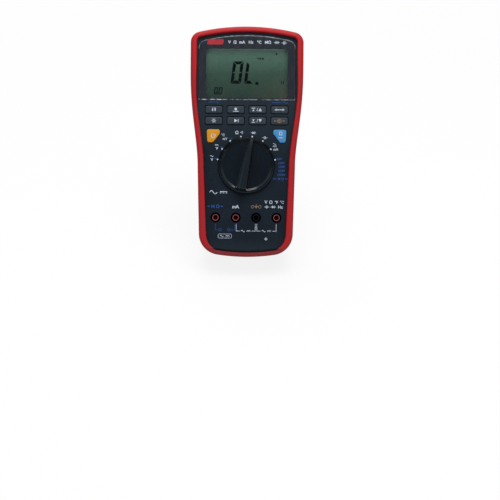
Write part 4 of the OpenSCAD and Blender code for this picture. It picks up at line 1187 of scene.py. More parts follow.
@dataclass
class RubberBoot:
    """The red boot: a C-shaped section carried round the body's outline."""

    outline: BodyOutline = field(default_factory=BodyOutline)
    depth: float = BOOT_DEPTH
    rim_h: float = 3.5
    wall: float = 3.2
    lip_t: float = 3.0
    lip_w: float = 8.5
    edge_r: float = 5.0
    crest: float = 0.8
    bevel: float = 1.7
    seat: float = 2.1
    fit: float = 0.1
    edge_soft: float = 0.8
    edge_steps: int = 10
    wall_steps: int = 5
    crease_deg: float = 50.0

    def section(self) -> np.ndarray:
        """The section as rows of distance in, share of the rim's width, and level.

        Quarter circles round the back and front edges, a quarter ellipse rolls the rim
        down to the panel, and short quarter circles soften the lip's own edges.
        """
        q = np.linspace(0, np.pi / 2, self.edge_steps)
        r, f = self.edge_r, self.rim_h
        zero = np.zeros_like(q)
        back = np.stack([r * (1 - np.sin(q)), zero, r * (1 - np.cos(q)) - self.depth], 1)
        rise = np.linspace(r - self.depth, 0, self.wall_steps + 2)[1:-1]
        wall = np.stack([0 * rise, 0 * rise, rise], 1)
        front = np.stack([f * (1 - np.cos(q)), zero, f * np.sin(q)], 1)
        roll = np.stack(
            [zero, self.crest + (1 - self.crest) * np.sin(q), f - self.bevel * (1 - np.cos(q))], 1
        )
        soft = self.edge_soft * (1 - np.cos(q[::3])), self.edge_soft * (1 - np.sin(q[::3]))
        lip = np.stack([self.lip_w - soft[1][::-1], 0 * soft[0], -self.depth + soft[0][::-1]], 1)
        seat, shelf = -self.seat, self.lip_t - self.depth - self.fit
        inside = [(0, 1, seat), (self.wall, 0, seat), (self.wall, 0, shelf), (self.lip_w, 0, shelf)]
        return np.vstack([back, wall, front, roll, inside, lip])

    def build(self, finish: Material) -> None:
        """Carries the section round the outline: point − (in + share·rim)·normal."""
        points, normals = self.outline.line()
        rim = self.outline.rim(points, normals)
        section = self.section()
        inward = section[:, :1] + section[:, 1:2] * rim[None, :]
        flat = points[None] - inward[..., None] * normals[None]
        level = np.broadcast_to(section[:, 2, None, None], (*inward.shape, 1))
        skin = tube(np.concatenate([flat, level], -1))
        piece("rubber_boot", skin, finish, Slot.BOOT, ["holster"], crease_deg=self.crease_deg)


# Display


@dataclass
class DisplayWindow:
    """The window: a dark bevelled border, and the clear pane over the display.

    The rows of border and bevel are ways in and down as shares of the slant. Those of
    the opening are growth and way down in mm.
    """

    half_w: float = 45.3
    top: float = 207.2
    low: float = 146.3
    arch_r: float = 175.0
    corner_r: float = 8.0
    foot_r: float = 1.2
    view_w: float = 76.3
    view_h: float = 46.8
    view_y: float = 171.3
    view_r: float = 4.2
    rise: float = 0.8
    seat: float = 1.2
    slant: float = 0.9
    border_rows: tuple[Span, ...] = (
        (0.0, 1.0), (0.15, 0.55), (0.8, 0.1), (1.2, 0.0), (1.5, 0.0),
    )
    bevel_rows: tuple[Span, ...] = (
        (0.1, 0.66), (0.05, 0.55), (0.78, 0.04), (0.95, 0.04), (0.95, 0.12),
    )
    opening_rows: tuple[Span, ...] = ((0.5, 0.0), (0.15, 0.0), (0.0, 0.15))
    pane_gap: float = 0.02
    pane_z: Span = (0.1, 0.6)
    steps: int = 720

    def outer(self, grow: float) -> np.ndarray:
        """The window's outline: arched top, big upper and small lower corners, grown by a distance."""
        half, arch = self.half_w + grow, self.arch_r + grow
        r, foot = self.corner_r + grow, self.foot_r + grow
        top, low = self.top + grow, self.low - grow
        rise = math.sqrt((arch - r) ** 2 - (half - r) ** 2)
        turn = math.degrees(math.atan2(rise, half - r))
        right = np.vstack(
            [
                arc((half - foot, low + foot), foot, -90, 0, 6),
                arc((half - r, top - arch + rise), r, 0, turn, 12),
                arc((0, top - arch), arch, turn, 90, 16)[1:],
            ]
        )
        return np.vstack([right, (right * [-1, 1])[-2::-1]])

    def at(self, outline: np.ndarray, level: float) -> np.ndarray:
        """An outline's points at even angles round the display's middle, on one level."""
        return at_level(by_angle(outline, (0, self.view_y), turn_steps(self.steps)), level)

    def opening(self, grow: float) -> np.ndarray:
        """The clear opening's outline, grown by a distance."""
        box = round_box(self.view_w + 2 * grow, self.view_h + 2 * grow, self.view_r + grow)
        return box + [0, self.view_y]

    def build(self, border: Material, edge: Material, pane: Material) -> None:
        """Makes the border as a closed ring of levels, its bevel with painted glints, and the pane as a thin
        plate.
        """
        s, top = self.slant, self.rise
        rows = [
            self.at(self.outer(0), -self.seat),
            *(self.at(self.outer(-inward * s), top - drop * s) for inward, drop in self.border_rows),
            *(self.at(self.opening(grow), top - drop) for grow, drop in self.opening_rows),
            self.at(self.opening(0.0), -self.seat),
        ]
        piece("window_border", tube(np.stack(rows)), border, Slot.WINDOW, ["display_window"])
        bevel = [self.at(self.outer(-inward * s), top - drop * s) for inward, drop in self.bevel_rows]
        piece("window_edge", tube(np.stack(bevel)), edge, Slot.WINDOW)
        clear = rings(np.stack([self.at(self.opening(-self.pane_gap), z) for z in self.pane_z]))
        piece("window_pane", clear, pane, Slot.WINDOW)


class Marks:
    """Marks of one ink on one level, gathered into a single thin piece."""

    thick: float = 0.05
    sunk: float = 0.03
    cap_share: float = 0.69
    curve_steps: int = 3
    half_thick: float = 0.5

    def __init__(self, ink: Ink, level: float = 0.0, **signs: Sequence[Sequence[object]]) -> None:
        """Starts a set of marks.

        Args:
            ink: the ink.
            level: height of the printed surface.
            signs: rows of arguments for the methods that add signs, by the method's name.
        """
        self.ink = ink
        self.low = level - self.sunk
        self.high = level + self.thick
        self.shapes: list[Shape] = []
        for kind, rows in signs.items():
            for row in rows:
                getattr(self, kind)(*row)

    def patch(self, outline: np.ndarray) -> None:
        """Adds a filled outline."""
        self.shapes.append(plate(np.asarray(outline, float), self.low, self.high))

    def line(self, path: Sequence[Sequence[float]], width: float, closed: bool = False) -> None:
        """Adds a stroke along a path."""
        self.shapes.append(ribbon(np.asarray(path, float), width, self.low, self.high, closed))

    def text(self, words: str, centre: Sequence[float], cap_h: float, bold: float = 0.015) -> None:
        """Adds plain letters or numbers about a centre.

        Args:
            words: what is set.
            centre: middle of the line.
            cap_h: height of a capital.
            bold: how far the strokes are grown, as a share of the letter size.
        """
        curve = bpy.data.curves.new("setting", "FONT")
        curve.body = words
        curve.offset = bold
        curve.resolution_u = self.curve_steps
        curve.extrude = self.half_thick
        setting = bpy.data.objects.new("setting", curve)
        bpy.context.scene.collection.objects.link(setting)
        bpy.context.view_layer.update()
        depsgraph = bpy.context.evaluated_depsgraph_get()
        mesh = bpy.data.meshes.new_from_object(setting.evaluated_get(depsgraph))
        points = np.empty(len(mesh.vertices) * 3)
        mesh.vertices.foreach_get("co", points)
        points = points.reshape(-1, 3)
        faces = [list(p.vertices) for p in mesh.polygons]
        bpy.data.objects.remove(setting)
        bpy.data.curves.remove(curve)
        bpy.data.meshes.remove(mesh)
        middle = (points.min(0) + points.max(0)) / 2
        flat = (points[:, :2] - middle[:2]) * cap_h / self.cap_share + np.asarray(centre)
        share = (points[:, 2:] + self.half_thick) / (2 * self.half_thick)
        level = self.low + share * (self.high - self.low)
        self.shapes.append((np.hstack([flat, level]), faces))

    def carry(self, centre: Sequence[float], factor: float) -> None:
        """Grows all marks so far about the origin and moves them to a centre."""
        grow = np.array([factor, factor, 1.0])
        shift = np.array([centre[0], centre[1], 0.0])
        self.shapes = [(points * grow + shift, faces) for points, faces in self.shapes]

    def place(self, name: str, slot: Slot, body: str = Body.METER.value) -> None:
        """Makes the piece from all marks gathered so far."""
        piece(name, merge(self.shapes), self.ink.finish(), slot, body=body)

    # Pictograms, each about a centre

    def wave(self, centre: Sequence[float], w: float, h: float, stroke: float) -> None:
        """One full sine wave, the sign of alternating current."""
        t = np.linspace(-0.5, 0.5, 17)
        self.line(np.stack([centre[0] + w * t, centre[1] + h / 2 * np.sin(-2 * np.pi * t)], 1), stroke)

    def direct(self, centre: Sequence[float], w: float, stroke: float) -> None:
        """A line over three dashes, the sign of direct current."""
        x, y = centre
        self.line([(x - w / 2, y + stroke), (x + w / 2, y + stroke)], stroke)
        dash = w / 5
        for i in (-1, 0, 1):
            middle = x + 2 * i * dash
            self.line([(middle - dash / 2, y - stroke), (middle + dash / 2, y - stroke)], stroke)

    def diode(self, centre: Sequence[float], w: float, stroke: float) -> None:
        """A filled triangle against a bar, with its leads."""
        x, y = centre
        h = w * 0.27
        self.line([(x - w / 2, y), (x + w / 2, y)], stroke)
        self.patch([(x - h * 0.8, y - h), (x + h * 0.8, y), (x - h * 0.8, y + h)])
        self.line([(x + h * 0.8, y - h), (x + h * 0.8, y + h)], stroke)

    def capacitor(self, centre: Sequence[float], w: float, stroke: float) -> None:
        """Two plates with their leads."""
        x, y = centre
        gap, h = w * 0.1, w * 0.3
        for side in (-1, 1):
            self.line([(x + side * gap, y), (x + side * w / 2, y)], stroke)
            self.line([(x + side * gap, y - h), (x + side * gap, y + h)], stroke)

    def sound(self, centre: Sequence[float], w: float, stroke: float) -> None:
        """A dot with two arcs, the sign of the continuity tone."""
        x, y = centre
        self.patch(disc((x - w * 0.35, y), stroke * 0.9))
        for r in (0.4, 0.75):
            self.line(arc((x - w * 0.35, y), w * r, -45, 45, 8), stroke)

    def ground(self, centre: Sequence[float], w: float, stroke: float) -> None:
        """A stem over three shrinking bars."""
        x, y = centre
        self.line([(x, y + w * 0.55), (x, y)], stroke)
        for i in range(3):
            half, drop = w / 2 * (1 - 0.33 * i), w * 0.2 * i
            self.line([(x - half, y - drop), (x + half, y - drop)], stroke)

    def triangle(self, centre: Sequence[float], size: float, upward: bool = True) -> None:
        """A filled arrow head, up or down."""
        x, y = centre
        rise = size * (0.5 if upward else -0.5)
        corners = [(x - size * 0.55, y - rise), (x + size * 0.55, y - rise), (x, y + rise)]
        self.patch(corners if upward else corners[::-1])


@dataclass
class Readout:
    """The dark segments on the display: overload on the main line and a small zero."""

    level: float = -3.4
    lean_deg: float = 7.0
    gap: float = 0.14
    corner_cut: float = 0.45
    middle_cut: float = 0.15
    main_h: float = 18.1
    main_thick: float = 2.8
    small_w: float = 2.3
    small_h: float = 5.8
    small_thick: float = 1.1
    point_r: float = 0.4

    def bar(
        self, start: Sequence[float], stop: Sequence[float], thick: float, cuts: Sequence[float]
    ) -> np.ndarray:
        """One bar of a digit, with its inner side on the left of start to stop.

        At each end the outer corner runs on by cut·thick and the inner corner stays back
        by as much, and the whole end is drawn back by the gap between neighbours.
        """
        start, stop = np.asarray(start, float), np.asarray(stop, float)
        ahead = (stop - start) / np.linalg.norm(stop - start)
        inside = np.array([-ahead[1], ahead[0]]) * thick / 2
        back = self.gap * thick
        first, last = (cut * thick for cut in cuts)
        return np.array(
            [
                start + ahead * (back - first) - inside,
                stop - ahead * (back - last) - inside,
                stop - ahead * (back + last) + inside,
                start + ahead * (back + first) + inside,
            ]
        )

    def digit(self, marks: Marks, low: Sequence[float], w: float, h: float, thick: float, lit: str) -> None:
        """Adds a slanted digit made of the outer six of seven bars.

        Args:
            marks: where it goes.
            low: lower left corner.
            w: width between the upright bars' middles.
            h: height between the level bars' middles.
            thick: width of a bar.
            lit: letters of the lit bars, a at the top, clockwise to f.
        """
        corner, middle = self.corner_cut, self.middle_cut
        ends = {
            "a": ((w, h), (0, h), corner, corner), "f": ((0, h), (0, h / 2), corner, middle),
            "e": ((0, h / 2), (0, 0), middle, corner), "d": ((0, 0), (w, 0), corner, corner),
            "c": ((w, 0), (w, h / 2), corner, middle), "b": ((w, h / 2), (w, h), middle, corner),
        }
        for key in lit:
            start, stop, *cuts = ends[key]
            shape = self.bar(start, stop, thick, cuts)
            shape[:, 0] += shape[:, 1] * math.tan(math.radians(self.lean_deg))
            marks.patch(shape + np.asarray(low))

    def build(self) -> None:
        """Lays the segments on the display's glass."""
        thick, main = self.main_thick, Marks(Ink.SEGMENT, self.level)
        for x, w, lit in ((-13.8, 6.9, "abcdef"), (-1.2, 5.6, "def")):
            self.digit(main, (x, 163.7), w, self.main_h, thick, lit)
        main.patch(round_box(thick, thick, self.point_r, 3) + [9.4, 162.6])
        main.place("display_digits", Slot.DISPLAY)
        small = Marks(
            Ink.FAINT_SEGMENT,
            self.level,
            patch=[
                (disc((-27.2, 152.4), 0.45, 10),),
                (round_box(1.4, 2.0, self.point_r, 3) + [27.6, 190.4],),
            ],
            line=[
                *(([(a, 185.9), (b, 185.9)], 1.5) for a, b in ((9.8, 10.8), (11.5, 13.0), (13.8, 15.6))),
                *(([(x, 162.0), (x, 164.9)], 0.8) for x in (32.2, 34.0)),
            ],
        )
        for x in (-30.4, -26.2):
            self.digit(small, (x, 152.6), self.small_w, self.small_h, self.small_thick, "abcdef")
        small.place("display_signs", Slot.DISPLAY)


# Keys


class Label(Enum):
    """The plain pictogram on a key."""

    PAUSE = "two bars"
    RECORD = "a filled dot over a line"
    UP = "an arrow head up"
    RANGE = "a line with two heads"
    LAMP = "a dot with rays"
    PLAY = "an arrow head to the right"
    DOWN = "an arrow head down"
    CHOOSE = "a ring with a dot"
    POWER = "a broken ring with a stem"
    OHMS = "the unit of resistance"


def level_signs(side: int) -> dict[str, list]:
    """The strokes of the sign for the highest value, or turned over for the lowest."""
    return {
        "triangle": [((1.9, 0.0), 2.4, side > 0), ((-3.1, -0.3 * side), 1.6, side > 0)],
        "line": [([(-0.6, -1.2), (0.1, 1.2)], 0.35), ([(-4.4, 1.1 * side), (-1.8, 1.1 * side)], 0.5)],
    }


SIGNS = {
    Label.PAUSE: {"line": [([(x, -1.2), (x, 1.2)], 0.7) for x in (-0.9, 0.9)]},
    Label.RECORD: {"patch": [(disc((0.0, 0.35), 1.0),)], "line": [([(-2.2, -1.3), (2.2, -1.3)], 0.45)]},
    Label.UP: level_signs(1),
    Label.DOWN: level_signs(-1),
    Label.RANGE: {
        "line": [([(-3.4, 0.0), (3.4, 0.0)], 0.5)],
        "patch": [([(s * 3.9, 0.0), (s * 2.2, s * 1.0), (s * 2.2, s * -1.0)],) for s in (-1, 1)],
    },
    Label.LAMP: {
        "line": [
            (disc((0.0, 0.0), 0.75, 16), 0.4, True),
            *((np.stack([ray * 1.25, ray * 1.75]), 0.35) for ray in spoke(turn_steps(8))),
        ]
    },
    Label.PLAY: {
        "patch": [([(-1.0, -1.3), (1.3, 0.0), (-1.0, 1.3)],)],
        "line": [([(1.8, -1.2), (1.8, 1.2)], 0.5)],
    },
    Label.CHOOSE: {
        "line": [
            (disc((0.0, 0.0), 1.3, 20), 0.45, True),
            *(([(s * 2.2, 0.0), (s * 4.0, 0.0)], 0.5) for s in (-1, 1)),
        ],
        "patch": [(disc((0.0, 0.0), 0.5, 12),)],
    },
    Label.POWER: {
        "line": [(arc((0.0, 0.0), 1.5, 125, 415, 20), 0.45), ([(0.0, 0.3), (0.0, 2.0)], 0.45)]
    },
    Label.OHMS: {"text": [("Ω", (0.6, 2.0), 2.6)], "line": [([(-1.2, -1.2), (2.4, -1.2)], 0.5)]},
}


@dataclass
class KeyCap:
    """One soft function key with a flange behind the panel and a foot over its dome."""

    name: str
    x: float
    y: float
    label: Label
    ink: Ink = Ink.WHITE
    slot: Slot = Slot.KEY
    w: float = 15.9
    h: float = 6.7
    corner_r: float = 1.4
    rise: float = 1.3
    crown: float = 0.7
    crown_steps: int = 6
    bulge: float = 0.15
    dome: tuple[float, ...] = (0.8, 0.55, 0.3, 0.1)
    panel_t: float = 2.7
    flange: float = 1.3
    flange_t: float = 0.8
    foot: Span = (6.0, 3.4)
    foot_r: float = 0.3
    foot_end: float = 6.2
    sunk: float = 0.6
    sign_scale: float = 1.25
    sign_sunk: float = 0.02
    steps: int = 96
    turn_off: float = 1e-4

    def outline(self, grow: float) -> np.ndarray:
        """The cap's outline about its own middle, grown by a distance."""
        return round_box(self.w + 2 * grow, self.h + 2 * grow, max(self.corner_r + grow, 0.2))

    def row(self, outline: np.ndarray, level: float) -> np.ndarray:
        """An outline at even angles, on one level, at the key's place."""
        flat = by_angle(outline, (0, 0), turn_steps(self.steps) + self.turn_off)
        return at_level(flat + [self.x, self.y], level)

    def skin(self) -> Shape:
        """The cap from the foot's end, out over the flange, up the sides and over the crown.

        The top edge is a quarter circle of radius crown, and the top itself bulges a
        little towards its middle.
        """
        foot, flange, cap = round_box(*self.foot, self.foot_r), self.outline(self.flange), self.outline(0)
        behind, front = self.panel_t + self.flange_t, self.panel_t
        level = self.rise - self.bulge
        rim = self.outline(-self.crown)
        rows = [
            (foot, -self.foot_end), (foot, -behind), (flange, -behind), (flange, -front),
            (cap, -front), (cap, -self.sunk),
        ]
        for a in np.linspace(0, np.pi / 2, self.crown_steps):
            inward, drop = self.crown * (1 - math.cos(a)), self.crown * (1 - math.sin(a))
            rows.append((self.outline(-inward), level - drop))
        rows += [(rim * s, level + self.bulge * (1 - s * s)) for s in self.dome]
        return rings(np.stack([self.row(*row) for row in rows]))

    def marks(self) -> None:
        """Prints the pictogram on the cap, drawn about the origin and then put in its place."""
        made = Marks(self.ink, self.rise - self.sign_sunk, **SIGNS[self.label])
        made.carry((self.x, self.y), self.sign_scale)
        made.place(f"{self.name}_sign", self.slot, f"{self.name}_cap")

    def build(self, finish: dict[Slot, Material]) -> None:
        """Makes the cap and its sign, which move with the key."""
        body = f"{self.name}_cap"
        piece(f"{self.name}_shell", self.skin(), finish[self.slot], self.slot, [self.name], body)
        self.marks()


@dataclass
class SideKey(KeyCap):
    """A coloured key with the corner beside the selector cut off."""

    side: int = -1
    w: float = 12.5
    h: float = 12.2
    corner_r: float = 2.0
    taper: float = 0.7
    cut_w: float = 6.4
    cut_h: float = 8.3

    def outline(self, grow: float) -> np.ndarray:
        """The five-sided outline with round corners, mirrored for the right-hand key."""
        w, h = self.w / 2, self.h / 2
        corners = [(w, h), (-w, h), (self.taper - w, -h), (w - self.cut_w, -h), (w, self.cut_h - h)]
        shape = soft_corners(np.array(corners), self.corner_r, grow)
        return shape if self.side < 0 else (shape * [-1, 1])[::-1]


@dataclass
class Keypad:
    """The eight function keys and the two coloured ones."""

    pitch_x: float = 20.4
    upper_y: float = 137.4
    lower_y: float = 127.0
    side_x: float = 31.1
    side_y: float = 112.8

    def build(self, finish: dict[Slot, Material]) -> None:
        """Makes every key at its place."""
        upper = (Label.PAUSE, Label.RECORD, Label.UP, Label.RANGE)
        lower = (Label.LAMP, Label.PLAY, Label.DOWN, Label.CHOOSE)
        for row, y, labels in (("upper", self.upper_y, upper), ("lower", self.lower_y, lower)):
            for i, label in enumerate(labels):
                ink = Ink.ORANGE if label is Label.CHOOSE else Ink.WHITE
                KeyCap(f"{row}_key_{i + 1}", (i - 1.5) * self.pitch_x, y, label, ink).build(finish)
        coloured = (("yellow_key", Label.POWER, Slot.YELLOW, -1), ("blue_key", Label.OHMS, Slot.BLUE, 1))
        for name, label, slot, side in coloured:
            SideKey(name, side * self.side_x, self.side_y, label, slot=slot, side=side).build(finish)


# Selector


@dataclass
class SelectorKnob:
    """The rotary knob: a turned skirt and dished face with a grip bar right across it."""

    r: float = KNOB_LIP_R + 1.7
    face_h: float = 4.2
    bar_h: float = 12.5
    skirt_h: float = 1.4
    low: float = -0.7
    dish: float = 0.9
    bar_end: float = 25.0
    left_plan: tuple[Span, ...] = ((0.0, 4.4), (0.35, 3.9), (0.68, 3.1), (0.93, 1.3), (1.0, 0.5))
    right_plan: tuple[Span, ...] = ((0.0, 4.4), (0.93, 1.65), (1.0, 0.5))
    soft_plan: tuple[Span, ...] = ((0.0, 7.0), (0.9, 3.85), (1.0, 2.8))
    soft_lead: float = 0.4
    steep_side: float = 1.3
    end_slope: float = 2.4
    top_fall: float = 0.25
    rim_run: float = 0.5
    rim_fall: float = 0.25
    lip_round: float = 0.8
    rim_round: float = 0.4
    end_round: float = 2.0
    ridge_round: float = 1.2
    flank_round: float = 1.4
    foot_round: float = 0.7
    rim_gap: float = 0.15
    hub_r: float = 0.3
    stem_r: float = 7.9
    stem_end: float = 6.6
    rays: int = 540
    steps: int = 150
    crease_deg: float = 50.0

    def turned(self, rho: np.ndarray) -> np.ndarray:
        """Height of the turned form by radius.

        A flat floor climbs in a soft step to the round lip at the face's edge, and
        outside the lip a slope falls to the skirt's rim.
        """
        beyond = rho - KNOB_LIP_R
        face = self.face_h - self.dish * (1 - smooth_step(beyond / KNOB_LIP_W + 1))
        slope_run = self.r - KNOB_LIP_R - self.rim_run
        slope = self.face_h - beyond * (self.face_h - self.skirt_h) / slope_run
        skirt = self.skirt_h + self.rim_fall * clamp((self.r - rho) / self.rim_run)
        return soft_max(soft_min(face, slope, self.lip_round), skirt, self.rim_round)

    def bar(self, a: np.ndarray, b: np.ndarray) -> np.ndarray:
        """Height of the grip bar at a across and b along it.

        The plan narrows from the tail to the pointer, and each plan gives a width at
        shares of that way. The height is the lowest of the top plane, a left flank that
        falls in one soft step, a steep right flank and the two sloping ends.
        """
        rho = np.hypot(a, b)
        along = (b + self.bar_end) / (2 * self.bar_end)
        plans = self.left_plan, self.right_plan, self.soft_plan
        left, right, soft = (np.interp(along, *zip(*plan)) for plan in plans)
        rise = self.bar_h - self.skirt_h
        flank_r = self.bar_h - (a - right) * rise / self.steep_side
        flank_l = self.bar_h - rise * smooth_step((-a - left + self.soft_lead * soft) / soft)
        ends = self.bar_h - (rho - (self.bar_end - self.end_slope)) * rise / self.end_slope
        top = self.bar_h - self.top_fall * smooth_step(np.abs(b) / self.bar_end)
        ridge = soft_min(flank_r, flank_l, self.ridge_round)
        return soft_min(soft_min(top, ends, self.end_round), ridge, self.flank_round)

    def build(self, finish: Material) -> None:
        """Makes the knob on a polar grid: the higher of turned form and bar, with a small fillet."""
        rho = np.concatenate([[self.r], np.linspace(self.r - self.rim_gap, self.hub_r, self.steps)])
        round_it = spoke(turn_steps(self.rays))
        a, b = rho[:, None] * round_it[:, 0], rho[:, None] * round_it[:, 1]
        height = soft_max(self.turned(np.hypot(a, b)), self.bar(a, b), self.foot_round)
        height[0] = self.skirt_h
        top = np.stack([a, b, height], -1)
        levels = (self.stem_r, -self.stem_end), (self.stem_r, self.low), (self.r, self.low)
        rows = np.concatenate([np.stack([at_level(r * round_it, z) for r, z in levels]), top])
        cos, sin = math.cos(math.radians(KNOB_TURN)), math.sin(math.radians(KNOB_TURN))
        rows[..., :2] = rows[..., :2] @ [[cos, sin], [-sin, cos]] + [0.0, KNOB_Y]
        piece(
            "knob_shell", rings(rows), finish, Slot.KNOB, ["selector_knob"], Body.SELECTOR.value,
            self.crease_deg,
        )


# Print


@dataclass
class FacePrint:
    """The dial's dots and signs, the jacks' labels and brackets, and the plain badge."""

    dot_ring: float = 27.4
    dot_r: float = 0.75
    dot_step: float = 22.5
    dot_count: int = 8
    unit_y: float = 46.8
    bracket_top: float = 30.8
    bracket_low: float = 24.2
    blue_low: float = 25.2
    bracket_arm: float = 3.4
    box: Span = (-19.6, 19.4)
    border_z: float = 0.8

    def dial(self) -> None:
        """Prints the dots and the white signs round the selector."""
        turns = np.radians(90 - self.dot_step * (np.arange(self.dot_count) - (self.dot_count - 1) / 2))
        centres = spoke(turns, self.dot_ring, (0.0, KNOB_Y))
        dots = Marks(Ink.WHITE, patch=[(disc(centre, self.dot_r),) for centre in centres])
        dots.place("dial_dots", Slot.PANEL)
        signs = Marks(
            Ink.WHITE,
            text=[
                ("V", (-32.2, 90.8), 2.6), ("V", (-27.6, 101.2), 2.6), ("°C", (-21.9, 113.8), 2.2),
                ("mV", (-20.0, 110.2), 2.2), ("Ω", (-9.0, 116.2), 2.9), ("mA", (27.4, 100.6), 2.2),
            ],
            wave=[
                ((-32.4, 94.0), 3.0, 1.2, 0.4), ((26.2, 105.6), 3.0, 1.1, 0.4),
                ((-30.6, 60.2), 7.0, 3.0, 0.6),
            ],
            direct=[((-27.8, 104.2), 3.2, 0.4), ((26.4, 103.4), 3.2, 0.38), ((-21.0, 60.2), 6.6, 0.6)],
            sound=[((-4.6, 116.2), 2.8, 0.42)],
            diode=[((6.6, 115.9), 4.6, 0.42)],
            capacitor=[((17.2, 111.4), 4.4, 0.5)],
        )
        signs.place("dial_signs", Slot.PANEL)

    def insulation(self) -> None:
        """Prints the blue numbers of the test voltages and the blue signs."""
        volts = (
            (50, 31.0, 91.6), (100, 33.0, 87.9), (250, 33.0, 84.3), (500, 33.0, 80.6), (1000, 33.0, 76.9),
        )
        blue = Marks(
            Ink.BLUE,
            text=[
                *((f"{number}V", (x, y), 2.1, 0.02) for number, x, y in volts),
                ("M Ω", (32.4, 73.1), 2.2, 0.02), ("°F", (-14.6, 110.4), 1.9),
                ("M Ω", (-28.6, 47.1), 2.9, 0.03),
            ],
            line=[
                ([(24.8, 73.1), (28.2, 73.1)], 0.7), ([(36.4, 73.1), (38.6, 73.1)], 0.7),
                ([(-33.6, 47.1), (-35.8, 47.1)], 1.0), ([(-23.6, 47.1), (-21.4, 47.1)], 1.0),
                ([(-36.0, 144.4), (-30.6, 144.4)], 0.5), ([(23.2, 144.3), (32.0, 144.3)], 0.5),
            ],
            wave=[
                ((-28.6, 91.6), 2.6, 1.2, 0.5), ((-23.0, 102.4), 2.6, 1.2, 0.5),
                ((-27.6, 144.2), 3.4, 1.2, 0.45), ((36.0, 144.2), 4.6, 1.2, 0.45),
            ],
        )
        blue.place("insulation_print", Slot.PANEL)

    def labels(self) -> None:
        """Prints the units above the jacks."""
        white = Marks(
            Ink.WHITE,
            text=[
                ("mA", (-9.6, 46.9), 3.0, 0.03), ("V", (18.6, 51.3), 2.9), ("Ω", (23.2, 51.3), 2.9),
                ("°F", (28.4, 51.3), 2.5), ("°C", (33.6, 51.3), 2.5), ("Hz", (32.2, self.unit_y), 2.7),
            ],
            capacitor=[((19.4, self.unit_y), 4.4, 0.5)],
            diode=[((25.4, self.unit_y), 4.8, 0.45)],
            ground=[((18.8, 17.0), 3.0, 0.4)],
        )
        white.place("jack_units", Slot.PANEL)
        orange = Marks(
            Ink.ORANGE,
            ground=[((9.5, 47.4), 3.6, 0.45)],
            line=[(arc((x, self.unit_y), 1.2, 0, 345, 16), 0.4) for x in (6.1, 12.9)],
        )
        orange.place("common_sign", Slot.PANEL)

    def brackets(self) -> None:
        """Prints the brackets that pair the jacks, and the plain box under them."""
        x = (np.arange(4) - 1.5) * JACK_PITCH
        top, low, arm = self.bracket_top, self.bracket_low, self.bracket_arm
        lines, waves, straights = [], [], []
        for a, b in ((x[1] + 0.5, x[2] - 0.7), (x[2] + 0.7, x[3] - 0.2)):
            lines.append(([(a, top), (a, low), (a + arm, low)], 0.4))
            lines.append(([(b - arm, low), (b, low), (b, top)], 0.4))
            waves.append((((a + b) / 2 - 2.6, low), 3.4, 1.6, 0.42))
            straights.append((((a + b) / 2 + 2.6, low), 3.4, 0.4))
        box_x, box_y = self.box
        lines.append((round_box(12.4, 3.8, 1.0) + self.box, 0.32, True))
        waves.append(((box_x - 2.8, box_y), 3.4, 1.4, 0.4))
        straights.append(((box_x + 2.6, box_y), 3.4, 0.38))
        Marks(Ink.WHITE, line=lines, wave=waves, direct=straights).place("jack_brackets", Slot.PANEL)
        low, last = self.blue_low, x[1] - 0.8
        blue = Marks(
            Ink.BLUE,
            line=[
                ([(x[0], top), (x[0], low), (-24.9, low)], 0.4),
                ([(-15.0, low), (last, low), (last, top)], 0.4),
                *((disc((middle, low), 1.2, 20), 0.4, True) for middle in (-23.8, -15.9)),
            ],
        )
        blue.place("insulation_bracket", Slot.PANEL)

    def badge(self) -> None:
        """Lays the plain red badge and a line of units on the window's upper border."""
        corners = np.array([(-37.6, 198.0), (-22.6, 198.0), (-21.6, 203.0), (-36.4, 203.0)])
        badge = Marks(Ink.RED, self.border_z, patch=[(soft_corners(corners, 0.9, 0),)])
        badge.place("plain_badge", Slot.WINDOW)
        units = (("V", -16.5), ("Ω", -11.4), ("mA", -4.6), ("Hz", 3.6), ("°C", 11.2), ("MΩ", 19.4))
        header = Marks(
            Ink.WHITE,
            self.border_z,
            text=[(words, (x, 200.4), 2.6, 0.035) for words, x in units],
            diode=[((27.6, 200.2), 5.2, 0.5)],
            capacitor=[((34.6, 199.9), 4.8, 0.55)],
        )
        header.place("header_signs", Slot.WINDOW)

    def build(self) -> None:
        """Prints everything on the face."""
        self.dial()
        self.insulation()
        self.labels()
        self.brackets()
        self.badge()


# Case and room


# Name, place and side in metres, and watts of each lamp
LAMPS = (
    ("key_lamp", (0.1, -0.3, 1.6), 1.1, 20.0),
    ("back_lamp", (-0.2, 0.9, 1.3), 0.9, 7.0),
    ("left_lamp", (-0.9, -1.4, 0.3), 0.4, 1.6),
    ("right_lamp", (1.0, -1.2, 0.4), 0.4, 2.2),
)


@dataclass
class CaseParts:
    """The CAD nodes that keep their shape, each with its slot's finish or one of its own."""

    nodes: dict[str, bpy.types.Object]
    subparts: list[dict]

    def build(self, finish: dict[Slot, Material], own: dict[str, Material]) -> None:
        """Gives every node of the frame a finish.

        Args:
            finish: the finish of each of the record's slots.
            own: finishes for single nodes, by name, in place of their slot's.
        """
        for row in self.subparts:
            mesh = self.nodes[row["node"]].data
            mesh.materials.clear()
            mesh.materials.append(own.get(row["node"], finish[Slot(row["material_slot"])]))
            LOG.info("%s wears %s", row["node"], row["material_slot"])


